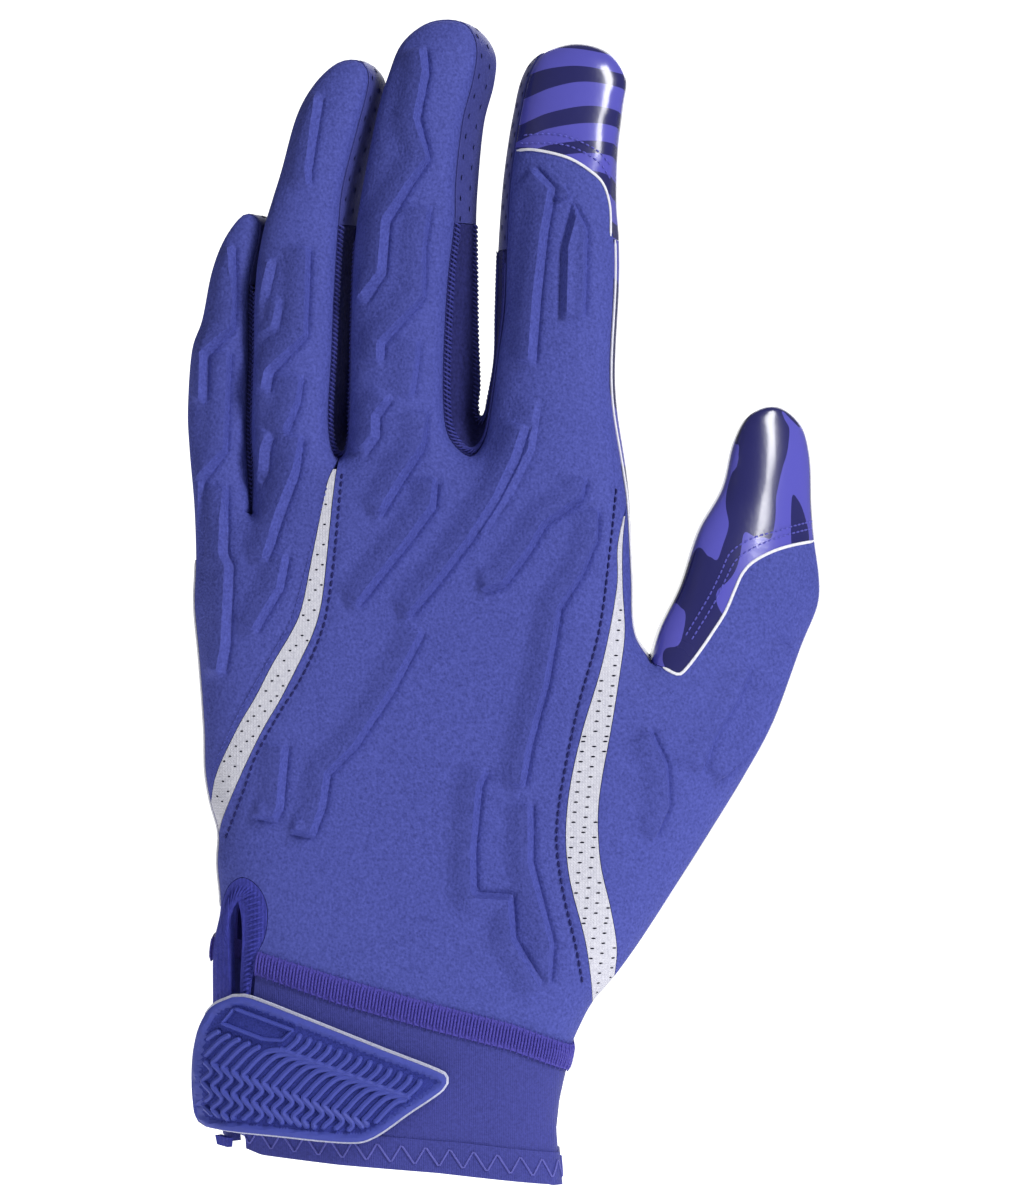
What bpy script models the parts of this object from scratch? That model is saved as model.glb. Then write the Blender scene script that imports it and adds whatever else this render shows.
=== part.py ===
"""Football receiver glove for the left hand, standing open in its worn shape.

Metres, +Z towards the fingertips, the back of the hand faces -Y and the thumb points to +X.
The origin is the middle of the wrist opening. Every skin is a thin shell over one common body:
a back surface and a palm surface, each blown up from the seam that outlines it, and side walls
that run between the two seams. Outline tables count in steps of the pattern grid, so that each
length in them is a share of the glove's width or length.
"""

import math

import bmesh
import bpy
import numpy as np
from mathutils import Vector
from mathutils.geometry import delaunay_2d_cdt

# Overall sizes
GLOVE_WIDTH = 0.1323
GLOVE_LENGTH = 0.2436

# Depth of the body from the back seam to the palm seam
FINGER_SIDE_DEPTH = 0.0085
HAND_SIDE_DEPTH = 0.0125
WRIST_SIDE_DEPTH = 0.0150

# How far and how fast the back and the palm swell between the seams
CROWN_REACH = 0.0120
BACK_CROWN = 0.60
PALM_CROWN = 0.52
WRIST_CROWN = 0.76

# Pose of the digits in the worn shape
FINGER_CURL = 0.0080
LITTLE_SET_BACK = 0.0030
THUMB_SET_BACK = 0.0110

# Wall thicknesses
BACK_THICK = 0.0016
INSERT_THICK = 0.0012
PALM_THICK = 0.0014
SIDE_THICK = 0.0010
CUFF_THICK = 0.0014
HEM_THICK = 0.0022
BAND_THICK = 0.0018
BINDING_THICK = 0.0020
STRAP_THICK = 0.0014
BACKING_THICK = 0.0013
TAB_THICK = 0.0016

# Clearances, swellings and relief
SEAM_GAP = 0.0004
LAYER_GAP = 0.0003
SIDE_BULGE = 0.0010
PAD_RISE = 0.0011
PAD_SHOULDER = 0.0013
PAD_FADE = 0.0050
TAB_RIM_RISE = 0.0008
TAB_RIM_WIDTH = 0.0018
BACKING_BORDER = 0.0011
BAND_RISE = 0.0005
HEM_RISE = 0.0004

# Pattern grid: steps that span the glove's width and length, and the step at the origin
GRID_WIDE = 630
GRID_LONG = 1160
GRID_ORIGIN = (392, 1158)

# Mesh fineness
EDGE_STEP = 0.0042
LATTICE_STEP = 0.0072
PALM_LATTICE_STEP = 0.0095
RIM_RING = 0.0013
FIELD_CELL = 0.0012
FIELD_SWEEPS = 700

# Outline of the glove, clockwise from the cuff's outer edge as the back of the hand is seen.
# Columns: mark, across, down, shift of the palm seam across and down, share of the side bulge
OUTLINE = (
    ("cuff_left", 230, 1190, 2, 0, 0.3),
    ("", 226, 1130, 2, 0, 0.3),
    ("vent_foot", 222, 1108, 2, 0, 0.3),
    ("", 216, 1075, 2, 0, 0.3),
    ("", 214, 1035, 2, 0, 0.3),
    ("", 214, 995, 2, 0, 0.3),
    ("band_low_left", 214, 957, 2, 0, 0.3),
    ("band_top_left", 216, 936, 2, 0, 0.3),
    ("vent_top", 222, 905, 3, 0, 0.6),
    ("", 219, 862, 3, 0, 0.8),
    ("insert_low", 220, 831, 4, 0, 0.8),
    ("insert_high", 212, 801, 4, 0, 0.8),
    ("", 207, 770, 4, 0, 0.8),
    ("", 206, 730, 4, 0, 0.8),
    ("", 201, 660, 4, 0, 0.8),
    ("", 196, 605, 5, 0, 0.8),
    ("", 197, 560, 8, 0, 0.6),
    ("", 195, 505, 12, 0, 0.5),
    ("", 190, 450, 16, 0, 0.4),
    ("", 188, 410, 18, 0, 0.4),
    ("", 192, 350, 20, 0, 0.3),
    ("", 202, 320, 20, 0, 0.3),
    ("", 211, 274, 20, 0, 0.3),
    ("", 222, 243, 20, 0, 0.3),
    ("little_tip", 237, 220, 17, 0, 0.3),
    ("", 248, 214, 14, 0, 0.2),
    ("", 257, 219, 17, 0, 0.1),
    ("", 259, 232, 19, 0, 0.0),
    ("little_join", 249, 285, 20, 0, 0.0),
    ("", 248, 361, 20, 0, 0.0),
    ("", 246, 430, 20, -4, 0.0),
    ("", 248, 475, 20, -14, 0.0),
    ("crotch_little", 252, 514, 20, -27, 0.0),
    ("", 254, 475, 20, -14, 0.0),
    ("", 252, 430, 20, -4, 0.0),
    ("", 254, 361, 20, 0, 0.0),
    ("ring_join_left", 256, 282, 20, 0, 0.0),
    ("", 264, 230, 20, 0, 0.1),
    ("", 281, 173, 20, 0, 0.3),
    ("", 297, 115, 20, 0, 0.3),
    ("", 315, 83, 18, 0, 0.3),
    ("ring_tip", 337, 63, 14, 0, 0.3),
    ("", 356, 60, 12, 0, 0.3),
    ("", 366, 68, 14, 2, 0.3),
    ("", 367, 86, 18, 0, 0.4),
    ("", 356, 130, 20, 0, 0.4),
    ("", 342, 187, 20, 0, 0.4),
    ("ring_join_right", 338, 225, 20, 0, 0.4),
    ("", 334, 292, 20, 0, 0.3),
    ("", 331, 361, 20, 0, 0.2),
    ("", 328, 420, 21, -8, 0.1),
    ("", 332, 450, 20, -20, 0.0),
    ("crotch_ring", 339, 459, 21, -27, 0.0),
    ("", 347, 447, 20, -20, 0.0),
    ("", 350, 410, 20, -8, 0.1),
    ("", 352, 304, 20, 0, 0.2),
    ("middle_join_left", 356, 232, 20, 0, 0.3),
    ("", 366, 170, 20, 0, 0.3),
    ("", 379, 106, 19, 0, 0.3),
    ("", 388, 76, 18, 0, 0.3),
    ("", 401, 44, 16, 0, 0.3),
    ("middle_tip", 424, 24, 12, 0, 0.3),
    ("", 448, 19, 10, 0, 0.3),
    ("", 467, 25, 13, 2, 0.3),
    ("", 476, 46, 19, 4, 0.4),
    ("", 472, 80, 22, 0, 0.4),
    ("", 462, 120, 22, 0, 0.4),
    ("", 455, 180, 23, 0, 0.4),
    ("middle_join_right", 454, 223, 22, 0, 0.4),
    ("", 448, 275, 29, 0, 0.3),
    ("", 444, 338, 34, -6, 0.2),
    ("", 443, 402, 37, -18, 0.0),
    ("", 449, 438, 29, -32, 0.0),
    ("crotch_middle", 470, 457, 12, -38, 0.0),
    ("", 484, 442, 2, -28, 0.0),
    ("", 491, 412, -3, -13, 0.0),
    ("", 498, 360, -3, -2, 0.1),
    ("", 505, 310, -9, 0, 0.2),
    ("index_join", 507, 250, -9, 0, 0.3),
    ("", 510, 190, -8, 0, 0.3),
    ("cap_left", 515, 148, -8, 0, 0.3),
    ("", 521, 112, -8, 0, 0.3),
    ("", 530, 74, -8, 0, 0.3),
    ("index_tip", 544, 52, -7, 2, 0.3),
    ("", 576, 42, 0, 2, 0.3),
    ("", 608, 51, 0, 2, 0.3),
    ("", 625, 76, 0, 0, 0.3),
    ("", 622, 104, 0, 0, 0.4),
    ("", 615, 150, 1, 0, 0.6),
    ("", 612, 200, 2, 0, 0.8),
    ("cap_right", 613, 240, 3, 0, 1.0),
    ("", 613, 285, 3, 0, 1.0),
    ("", 609, 365, 3, 0, 1.0),
    ("", 611, 410, 3, 0, 1.0),
    ("", 621, 470, 3, 0, 0.8),
    ("insert_apex", 626, 505, 2, 0, 0.6),
    ("", 630, 575, 1, 0, 0.4),
    ("", 633, 632, 1, -4, 0.2),
    ("web", 650, 662, 0, -8, 0.0),
    ("", 659, 630, 0, -4, 0.1),
    ("", 680, 586, 0, 0, 0.3),
    ("", 699, 531, 0, 0, 0.4),
    ("", 723, 488, 0, 0, 0.4),
    ("", 735, 442, 0, 0, 0.4),
    ("", 751, 414, 0, 2, 0.4),
    ("thumb_tip", 777, 406, 0, 2, 0.4),
    ("", 800, 422, 0, 2, 0.4),
    ("", 810, 455, 0, 0, 0.4),
    ("", 812, 505, 0, 0, 0.4),
    ("grip_high", 815, 540, 0, 0, 0.4),
    ("", 820, 580, 0, 0, 0.4),
    ("", 818, 606, 0, 0, 0.4),
    ("", 802, 645, 0, 0, 0.4),
    ("", 773, 722, 0, 0, 0.4),
    ("", 744, 775, 0, 0, 0.4),
    ("", 708, 833, 0, 0, 0.4),
    ("", 670, 892, 0, 0, 0.4),
    ("", 640, 938, 0, 0, 0.3),
    ("insert_end_right", 614, 974, -2, 0, 0.3),
    ("insert_end_left", 592, 1000, -2, 0, 0.3),
    ("", 580, 1022, -2, 0, 0.3),
    ("band_top_right", 571, 1043, -2, 0, 0.3),
    ("band_low_right", 566, 1066, -2, 0, 0.3),
    ("", 559, 1098, -2, 0, 0.3),
    ("", 556, 1126, -2, 0, 0.3),
    ("cuff_right", 561, 1190, -2, 0, 0.3),
)
SHARP_MARKS = ("crotch_little", "web")
SKIRT_DOWN = 1420

# Seams that cross the back surface, in grid steps from one outline mark to another
INSERT_OUTER_LEFT = (
    (329, 481), (323, 509), (313, 560), (303, 609), (293, 632), (274, 664),
    (258, 695), (242, 722), (224, 758), (216, 779),
)
INSERT_OUTER_RIGHT = (
    (336, 481), (333, 507), (328, 560), (323, 603), (315, 632), (301, 662),
    (282, 699), (266, 726), (248, 762), (231, 800), (223, 820),
)
INSERT_INNER_LEFT = (
    (617, 545), (616, 587), (602, 660), (581, 731), (569, 786), (565, 833),
    (569, 877), (584, 936), (590, 975),
)
INSERT_INNER_RIGHT = (
    (622, 545), (622, 587), (624, 632), (619, 672), (610, 728), (600, 783),
    (597, 819), (600, 863), (610, 907), (616, 945),
)
CAP_EDGE = ((534, 150), (567, 158), (588, 170), (603, 184), (609, 208))
GRIP_EDGE = (
    (662, 667), (677, 673), (699, 649), (724, 611), (734, 588), (741, 573),
    (752, 561), (773, 550), (793, 544),
)
VENT_EDGE = ((268, 930), (269, 903), (260, 884), (245, 875), (231, 883))
VENT_LEG = ((252, 1108), (251, 1050), (253, 985))
VENT_SLOT = (
    (242, 1108), (242, 987), (244, 935), (242, 908), (237, 897), (232, 908),
    (230, 935), (232, 987), (233, 1108),
)

# Lines round the wrist, in grid steps: seam band, cuff and hem
BAND_TOP = ((214, 936), (260, 949), (341, 974), (438, 1001), (511, 1020), (571, 1043))
BAND_LOW = ((214, 957), (256, 969), (341, 998), (438, 1025), (511, 1044), (568, 1066))
HEM_TOP = ((214, 1112), (260, 1118), (377, 1130), (462, 1137), (562, 1150))
HEM_LOW = ((222, 1128), (240, 1139), (264, 1148), (341, 1157), (438, 1165), (562, 1180))

# Closing tab and the strap it ends
TAB_OUTLINE = (
    (236, 992), (252, 993), (314, 1016), (380, 1042), (439, 1065), (447, 1071),
    (443, 1082), (410, 1105), (375, 1129), (352, 1134), (280, 1128), (210, 1121),
    (200, 1112), (197, 1095), (196, 1071), (198, 1045), (204, 1021), (216, 1002),
)
STRAP_TOP = ((214, 1024), (571, 1034))
STRAP_LOW = ((214, 1096), (571, 1106))
STRAP_END = 0.60

# Where the wrist pieces begin and end beside the vent, in shares of the wrist's width
BAND_START = 0.155
CUFF_START = 0.130
HEM_START = 0.070
HEM_END = 0.030
WEBBING_END = ((217, 1131), (231, 1133), (230, 1142), (219, 1140))

# Relief of the padded panels: steps of the raised pads, plateau to the left of the direction
# of travel. Each row is a share of the full rise and the points of the step
BACK_RELIEF = (
    (1.0, ((363, 308), (385, 275), (389, 223), (413, 185), (430, 160), (419, 120), (428, 74), (425, 45))),
    (0.8, ((383, 368), (384, 345), (425, 300), (426, 246), (432, 205))),
    (0.8, ((363, 459), (379, 438), (379, 418), (395, 397))),
    (0.9, ((380, 521), (400, 487), (425, 448), (429, 410))),
    (1.0, ((357, 610), (410, 543), (435, 509), (438, 477))),
    (1.0, ((408, 621), (438, 585), (470, 543), (497, 502), (518, 461), (530, 424))),
    (0.9, ((534, 369), (539, 302), (546, 237), (554, 190), (532, 166))),
    (0.8, ((584, 324), (587, 232), (573, 204), (562, 248), (560, 324))),
    (0.9, ((479, 594), (504, 587), (530, 552), (545, 526), (582, 500), (587, 477))),
    (1.0, ((523, 789), (531, 744), (548, 681), (560, 609), (582, 575), (597, 540), (598, 507))),
    (0.9, ((550, 985), (553, 940), (532, 860), (532, 797))),
    (0.9, ((545, 985), (515, 935), (512, 892), (476, 890), (475, 850), (481, 785), (490, 766))),
    (0.8, ((252, 815), (278, 820), (284, 807), (290, 740))),
    (0.8, ((288, 830), (315, 836), (326, 806), (331, 773), (358, 746))),
)
OUTER_RELIEF = (
    (0.9, ((207, 407), (208, 356), (235, 329), (237, 300), (234, 242))),
    (0.8, ((204, 560), (204, 482), (228, 452), (232, 349))),
    (0.8, ((225, 679), (231, 644), (234, 566), (228, 554), (229, 483))),
    (0.9, ((269, 397), (273, 374), (308, 338), (311, 245))),
    (0.8, ((287, 439), (301, 402), (305, 374))),
    (0.8, ((259, 489), (269, 471), (270, 448), (277, 432))),
    (0.9, ((268, 566), (282, 521), (299, 475), (305, 434))),
    (0.8, ((256, 636), (284, 589), (291, 552))),
)
THUMB_RELIEF = (
    (0.9, ((654, 839), (669, 804), (666, 763), (648, 725))),
    (1.0, ((716, 783), (757, 745), (789, 663), (792, 640))),
)

# Colours, linear
BLUE_KNIT = (0.066, 0.080, 0.390)
BLUE_GRIP = (0.080, 0.070, 0.480)
BLUE_SIDE = (0.045, 0.050, 0.330)
BLUE_DARK = (0.022, 0.024, 0.150)
BLUE_CUFF = (0.052, 0.056, 0.360)
BLUE_RUBBER = (0.030, 0.042, 0.300)
PURPLE_THREAD = (0.090, 0.060, 0.400)
WHITE_MESH = (0.78, 0.78, 0.80)
WHITE_HOOK = (0.60, 0.60, 0.72)


def clear_scene():
    """Remove every object of the start scene."""
    for item in list(bpy.data.objects):
        bpy.data.objects.remove(item, do_unlink=True)


def on_grid(points):
    """Return grid steps as metres across and up."""
    steps = np.asarray(points, dtype=float)
    across = (steps[..., 0] - GRID_ORIGIN[0]) * GLOVE_WIDTH / GRID_WIDE
    up = (GRID_ORIGIN[1] - steps[..., 1]) * GLOVE_LENGTH / GRID_LONG
    return np.stack([across, up], axis=-1)


def to_grid(flat):
    """Return metres across and up as grid steps."""
    across = flat[..., 0] * GRID_WIDE / GLOVE_WIDTH + GRID_ORIGIN[0]
    down = GRID_ORIGIN[1] - flat[..., 1] * GRID_LONG / GLOVE_LENGTH
    return across, down


def smooth(value, low, high):
    """Rise from 0 to 1 between low and high with no corner."""
    share = np.clip((value - low) / (high - low), 0.0, 1.0)
    return share * share * (3.0 - 2.0 * share)


def spline(rows, step):
    """Sample a smooth curve through rows, whose first two columns are metres across and up.

    Returns the samples and the index of the sample on each row.
    """
    rows = np.asarray(rows, dtype=float)
    padded = np.vstack([2.0 * rows[0] - rows[1], rows, 2.0 * rows[-1] - rows[-2]])
    knots = np.linalg.norm(np.diff(padded[:, :2], axis=0), axis=1)
    knots = np.concatenate([[0.0], np.cumsum(np.sqrt(np.maximum(knots, 1e-6)))])
    samples = [rows[0]]
    index = [0]
    for span in range(1, len(padded) - 2):
        first, last = padded[span], padded[span + 1]
        length = float(np.linalg.norm((last - first)[:2]))
        count = max(1, int(round(length / step)))
        before = (last - padded[span - 1]) / (knots[span + 1] - knots[span - 1])
        after = (padded[span + 2] - first) / (knots[span + 2] - knots[span])
        width = knots[span + 1] - knots[span]
        for turn in range(1, count + 1):
            share = turn / count
            square, cube = share * share, share * share * share
            point = (2 * cube - 3 * square + 1) * first + (cube - 2 * square + share) * width * before
            point = point + (3 * square - 2 * cube) * last + (cube - square) * width * after
            samples.append(point)
        index.append(len(samples) - 1)
    return np.array(samples), index


def outward(curve):
    """Return the unit normals of an open clockwise curve, pointing away from its inside."""
    along = np.gradient(curve, axis=0)
    normal = np.stack([-along[:, 1], along[:, 0]], axis=1)
    return normal / np.maximum(np.linalg.norm(normal, axis=1, keepdims=True), 1e-12)


class Outline:
    """The back seam and the palm seam of the glove as paired samples."""

    def __init__(self, step):
        rows = []
        for _, across, down, shift_across, shift_down, bulge in OUTLINE:
            back = on_grid((across, down))
            palm = on_grid((across + shift_across, down + shift_down))
            rows.append([*back, *palm, bulge])
        sharp = [number for number, row in enumerate(OUTLINE) if row[0] in SHARP_MARKS]
        cuts = [0, *sharp, len(OUTLINE) - 1]
        samples = []
        places = []
        for first, last in zip(cuts, cuts[1:]):
            piece, index = spline(rows[first:last + 1], step)
            start = max(len(samples) - 1, 0)
            skip = 1 if samples else 0
            samples.extend(piece[skip:])
            places.extend([start + place for place in index][skip:])
        samples = np.array(samples)
        self.back = samples[:, 0:2]
        self.palm = samples[:, 2:4]
        self.bulge = samples[:, 4]
        self.marks = {row[0]: place for row, place in zip(OUTLINE, places) if row[0]}
        self.back_normal = outward(self.back)
        self.palm_normal = outward(self.palm)

    def span(self, first, last):
        """Return the sample numbers from one mark to another."""
        return list(range(self.marks[first], self.marks[last] + 1))


class Swell:
    """Height field that blows up a closed outline, with a round edge and a level middle."""

    def __init__(self, curve):
        skirt = on_grid(((0, SKIRT_DOWN),))[0, 1]
        self.ring = np.vstack([curve, [curve[-1, 0], skirt], [curve[0, 0], skirt]])
        low = self.ring.min(axis=0) - 3 * FIELD_CELL
        high = self.ring.max(axis=0) + 3 * FIELD_CELL
        self.low = low
        self.size = np.ceil((high - low) / FIELD_CELL).astype(int) + 1
        across = low[0] + FIELD_CELL * np.arange(self.size[0])
        up = low[1] + FIELD_CELL * np.arange(self.size[1])
        grid = np.stack(np.meshgrid(across, up, indexing="ij"), axis=-1)
        flat = grid.reshape(-1, 2)
        distance = self.distance(flat).reshape(self.size)
        inside = self.inside(flat).reshape(self.size)
        live = inside & (distance > 0.45 * FIELD_CELL)
        height = self.relax(live)
        known = inside & (distance > 1.1 * FIELD_CELL)
        ratio = np.where(known, height / np.maximum(self.soften(distance), 1e-9), 0.0)
        self.ratio = self.spread(ratio, known)

    def distance(self, flat):
        """Return each point's distance to the outline."""
        start = self.ring
        step = np.roll(self.ring, -1, axis=0) - start
        length = np.maximum((step * step).sum(axis=1), 1e-18)
        best = np.full(len(flat), np.inf)
        for base, edge, square in zip(start, step, length):
            offset = flat - base
            share = np.clip((offset @ edge) / square, 0.0, 1.0)
            gap = offset - share[:, None] * edge
            best = np.minimum(best, (gap * gap).sum(axis=1))
        return np.sqrt(best)

    def inside(self, flat):
        """Tell which points lie inside the outline."""
        odd = np.zeros(len(flat), dtype=bool)
        last = np.roll(self.ring, 1, axis=0)
        for head, tail in zip(self.ring, last):
            if head[1] == tail[1]:
                continue
            between = (head[1] > flat[:, 1]) != (tail[1] > flat[:, 1])
            cross = (tail[0] - head[0]) * (flat[:, 1] - head[1]) / (tail[1] - head[1]) + head[0]
            odd ^= between & (flat[:, 0] < cross)
        return odd

    def relax(self, live):
        """Solve the screened swelling equation on the live cells, zero outside them."""
        height = np.zeros(live.shape)
        cell = FIELD_CELL * FIELD_CELL
        weight = 4.0 + cell / (CROWN_REACH * CROWN_REACH)
        checker = np.indices(live.shape).sum(axis=0) % 2
        colours = [live & (checker == colour) for colour in (0, 1)]
        over = 1.88
        for _ in range(FIELD_SWEEPS):
            for colour in colours:
                around = np.zeros(live.shape)
                around[1:-1, 1:-1] = (
                    height[2:, 1:-1] + height[:-2, 1:-1] + height[1:-1, 2:] + height[1:-1, :-2]
                )
                target = (around + cell) / weight
                height[colour] += over * (target[colour] - height[colour])
        return height

    @staticmethod
    def spread(ratio, known):
        """Carry the known values outwards over the unknown cells."""
        ratio = ratio.copy()
        known = known.copy()
        for _ in range(6):
            total = np.zeros(ratio.shape)
            count = np.zeros(ratio.shape)
            for axis in (0, 1):
                for shift in (-1, 1):
                    total += np.roll(np.where(known, ratio, 0.0), shift, axis=axis)
                    count += np.roll(known, shift, axis=axis)
            fresh = ~known & (count > 0)
            ratio[fresh] = total[fresh] / count[fresh]
            known |= fresh
        return ratio

    @staticmethod
    def soften(distance):
        """Level a distance off beyond the round edge."""
        reach = 0.5 * CROWN_REACH
        return reach * (1.0 - np.exp(-distance / reach))

    def height(self, flat):
        """Return the swelling at points, the square of the swell over two."""
        place = (flat - self.low) / FIELD_CELL
        cell = np.clip(np.floor(place).astype(int), 0, self.size - 2)
        share = place - cell
        column, row = cell[:, 0], cell[:, 1]
        across, up = share[:, 0], share[:, 1]
        value = (
            self.ratio[column, row] * (1 - across) * (1 - up)
            + self.ratio[column + 1, row] * across * (1 - up)
            + self.ratio[column, row + 1] * (1 - across) * up
            + self.ratio[column + 1, row + 1] * across * up
        )
        return value * self.soften(self.distance(flat))

    def slope(self, flat):
        """Return the swelling and its slopes across and up."""
        nudge = 0.25 * FIELD_CELL
        middle = self.height(flat)
        across = self.height(flat + (nudge, 0.0)) - self.height(flat - (nudge, 0.0))
        up = self.height(flat + (0.0, nudge)) - self.height(flat - (0.0, nudge))
        return middle, across / (2 * nudge), up / (2 * nudge)


def middle_depth(flat):
    """Return how far towards the palm the middle of the body lies."""
    across, down = to_grid(flat)
    curl = FINGER_CURL * (np.clip(480 - down, 0, None) / 460) ** 2
    divider = np.interp(down, (200, 230, 282, 514), (272, 262, 252, 250.5))
    little = smooth(divider - across, -2.0, 2.0) * smooth(514 - down, 0, 150)
    thumb = (np.clip(across - 600, 0, None) / 200) ** 1.6 * smooth(down, 330, 420)
    return curl + LITTLE_SET_BACK * little + THUMB_SET_BACK * thumb


def side_depth(flat):
    """Return the depth of the side walls, finger to hand to wrist."""
    _, down = to_grid(flat)
    hand = smooth(down, 430, 640)
    wrist = smooth(down, 820, 1000)
    depth = FINGER_SIDE_DEPTH + (HAND_SIDE_DEPTH - FINGER_SIDE_DEPTH) * hand
    return depth + (WRIST_SIDE_DEPTH - HAND_SIDE_DEPTH) * wrist


class Face:
    """One of the two broad surfaces of the body, the back (-1) or the palm (+1)."""

    def __init__(self, curve, towards, crown):
        self.swell = Swell(curve)
        self.towards = towards
        self.crown = crown

    def seam_depth(self, flat):
        """Return the depth of the seam that bounds this face."""
        return middle_depth(flat) + self.towards * 0.5 * side_depth(flat)

    def crown_at(self, flat):
        """Return the share of the swell that this face keeps, fuller at the wrist."""
        _, down = to_grid(flat)
        return self.crown + (WRIST_CROWN - self.crown) * smooth(down, 820, 1020)

    def place(self, flat, lift=0.0, rise=None):
        """Return points and outward normals of the face, moved outwards by lift.

        rise adds height square to the face at each point.
        """
        inner, shrink = self.pull_in(flat, lift)
        value, across, up = self.swell.slope(inner)
        crown = self.crown_at(inner)
        bulk = crown * np.sqrt(2.0 * np.maximum(value, 0.0))
        nudge = 0.0005
        base = self.seam_depth(inner)
        base_across = (self.seam_depth(inner + (nudge, 0)) - self.seam_depth(inner - (nudge, 0))) / (2 * nudge)
        base_up = (self.seam_depth(inner + (0, nudge)) - self.seam_depth(inner - (0, nudge))) / (2 * nudge)
        depth = base + self.towards * (bulk + lift)
        square = crown * crown
        normal = np.stack([
            (-square * across - self.towards * bulk * base_across) * shrink,
            self.towards * bulk,
            -square * up - self.towards * bulk * base_up,
        ], axis=1)
        normal /= np.maximum(np.linalg.norm(normal, axis=1, keepdims=True), 1e-12)
        point = np.stack([flat[:, 0], depth, flat[:, 1]], axis=1)
        if rise is not None:
            point = point + normal * rise[:, None]
        return point, normal

    def pull_in(self, flat, lift):
        """Map points of a lifted layer at the wrist to the body under them."""
        if lift == 0.0:
            return flat, 1.0
        half = wrist_half(flat[:, 1])
        middle = wrist_middle(flat[:, 1])
        shrink = half / (half + lift)
        inner = flat.copy()
        inner[:, 0] = middle + np.clip((flat[:, 0] - middle) * shrink, -0.999 * half, 0.999 * half)
        return inner, shrink


def edge_across(up, left):
    """Return where the wrist's outer or thumb-side edge lies at a height."""
    marks = [row for row in OUTLINE if row[2] >= 860]
    side = [row for row in marks if (row[1] < GRID_ORIGIN[0]) == left]
    line = on_grid([(row[1], row[2]) for row in side])
    order = np.argsort(line[:, 1])
    return np.interp(up, line[order, 1], line[order, 0])


def wrist_half(up):
    """Return half the width of the wrist at a height."""
    return 0.5 * (edge_across(up, False) - edge_across(up, True))


def wrist_middle(up):
    """Return the middle of the wrist at a height."""
    return 0.5 * (edge_across(up, False) + edge_across(up, True))


def line_up(line, across):
    """Return the height of a line round the wrist at a place across."""
    points = on_grid(line)
    return np.interp(across, points[:, 0], points[:, 1])


class Shell:
    """Collects the outer skin of a piece and closes it into a thin solid."""

    def __init__(self):
        self.points = []
        self.normals = []
        self.faces = []

    def add(self, point, normal):
        """Add a skin point and return its number."""
        self.points.append(point)
        self.normals.append(normal)
        return len(self.points) - 1

    def add_strip(self, rows):
        """Join rows of point numbers by quads."""
        for upper, lower in zip(rows, rows[1:]):
            for first, second, third, fourth in zip(upper, upper[1:], lower[1:], lower):
                self.faces.append((first, second, third, fourth))

    def solid(self, name, thick, material):
        """Close the skin into an object whose wall lies inside it."""
        mesh = bmesh.new()
        outer = [mesh.verts.new(point) for point in self.points]
        inner = [
            mesh.verts.new(np.asarray(point) - np.asarray(normal) * thick)
            for point, normal in zip(self.points, self.normals)
        ]
        edges = {}
        for face in self.faces:
            mesh.faces.new([outer[number] for number in face])
            mesh.faces.new([inner[number] for number in reversed(face)])
            for first, second in zip(face, face[1:] + face[:1]):
                edges[(first, second)] = edges.get((first, second), 0) + 1
        for first, second in edges:
            if (second, first) not in edges:
                mesh.faces.new([outer[second], outer[first], inner[first], inner[second]])
        loose = [vertex for vertex in mesh.verts if not vertex.link_faces]
        bmesh.ops.delete(mesh, geom=loose, context="VERTS")
        bmesh.ops.triangulate(mesh, faces=mesh.faces[:])
        bmesh.ops.recalc_face_normals(mesh, faces=mesh.faces[:])
        return finish(mesh, name, material)


def finish(mesh, name, material):
    """Turn a bmesh into a named, smooth-shaded object with its material."""
    data = bpy.data.meshes.new(name)
    mesh.to_mesh(data)
    mesh.free()
    data.shade_smooth()
    data.set_sharp_from_angle(angle=math.radians(50))
    item = bpy.data.objects.new(name, data)
    bpy.context.collection.objects.link(item)
    item.data.materials.append(material)
    return item


def material(name, colour, roughness):
    """Return a plain material of one colour."""
    result = bpy.data.materials.new(name)
    result.use_nodes = True
    shader = result.node_tree.nodes["Principled BSDF"]
    shader.inputs["Base Color"].default_value = (*colour, 1.0)
    shader.inputs["Roughness"].default_value = roughness
    shader.inputs["Metallic"].default_value = 0.0
    return result


def inset_seam(points, towards):
    """Move a seam by half the seam gap, to the left (+1) or right (-1) of its direction."""
    return points + towards * 0.5 * SEAM_GAP * outward(points)


def seam(start, rows, end, step):
    """Return the samples of a seam between two outline points, without its ends."""
    points, _ = spline(np.vstack([start, on_grid(rows), end]), step)
    return points


def distance_to(flat, line):
    """Return signed distance of points to an open line, positive on its left, and end fade."""
    best = np.full(len(flat), np.inf)
    signed = np.zeros(len(flat))
    along = np.zeros(len(flat))
    steps = np.diff(line, axis=0)
    lengths = np.linalg.norm(steps, axis=1)
    travelled = 0.0
    for base, edge, length in zip(line[:-1], steps, lengths):
        offset = flat - base
        share = np.clip((offset @ edge) / (length * length), 0.0, 1.0)
        gap = offset - share[:, None] * edge
        distance = np.sqrt((gap * gap).sum(axis=1))
        side = np.sign(edge[0] * offset[:, 1] - edge[1] * offset[:, 0])
        closer = distance < best - 1e-9
        best = np.where(closer, distance, best)
        signed = np.where(closer, side * distance, signed)
        along = np.where(closer, travelled + share * length, along)
        travelled += length
    ends = np.minimum(along, travelled - along)
    return signed, ends


def relief_rise(flat, relief):
    """Return the height of the raised pads at points."""
    rise = np.zeros(len(flat))
    for share, rows in relief:
        line = on_grid(rows)
        signed, ends = distance_to(flat, line)
        step = smooth(signed, 0.0, PAD_SHOULDER)
        fade = 1.0 - smooth(signed, PAD_SHOULDER, PAD_SHOULDER + PAD_FADE)
        rise = np.maximum(rise, PAD_RISE * share * step * fade * smooth(ends, -0.0001, 0.5 * PAD_FADE))
    return rise


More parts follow.
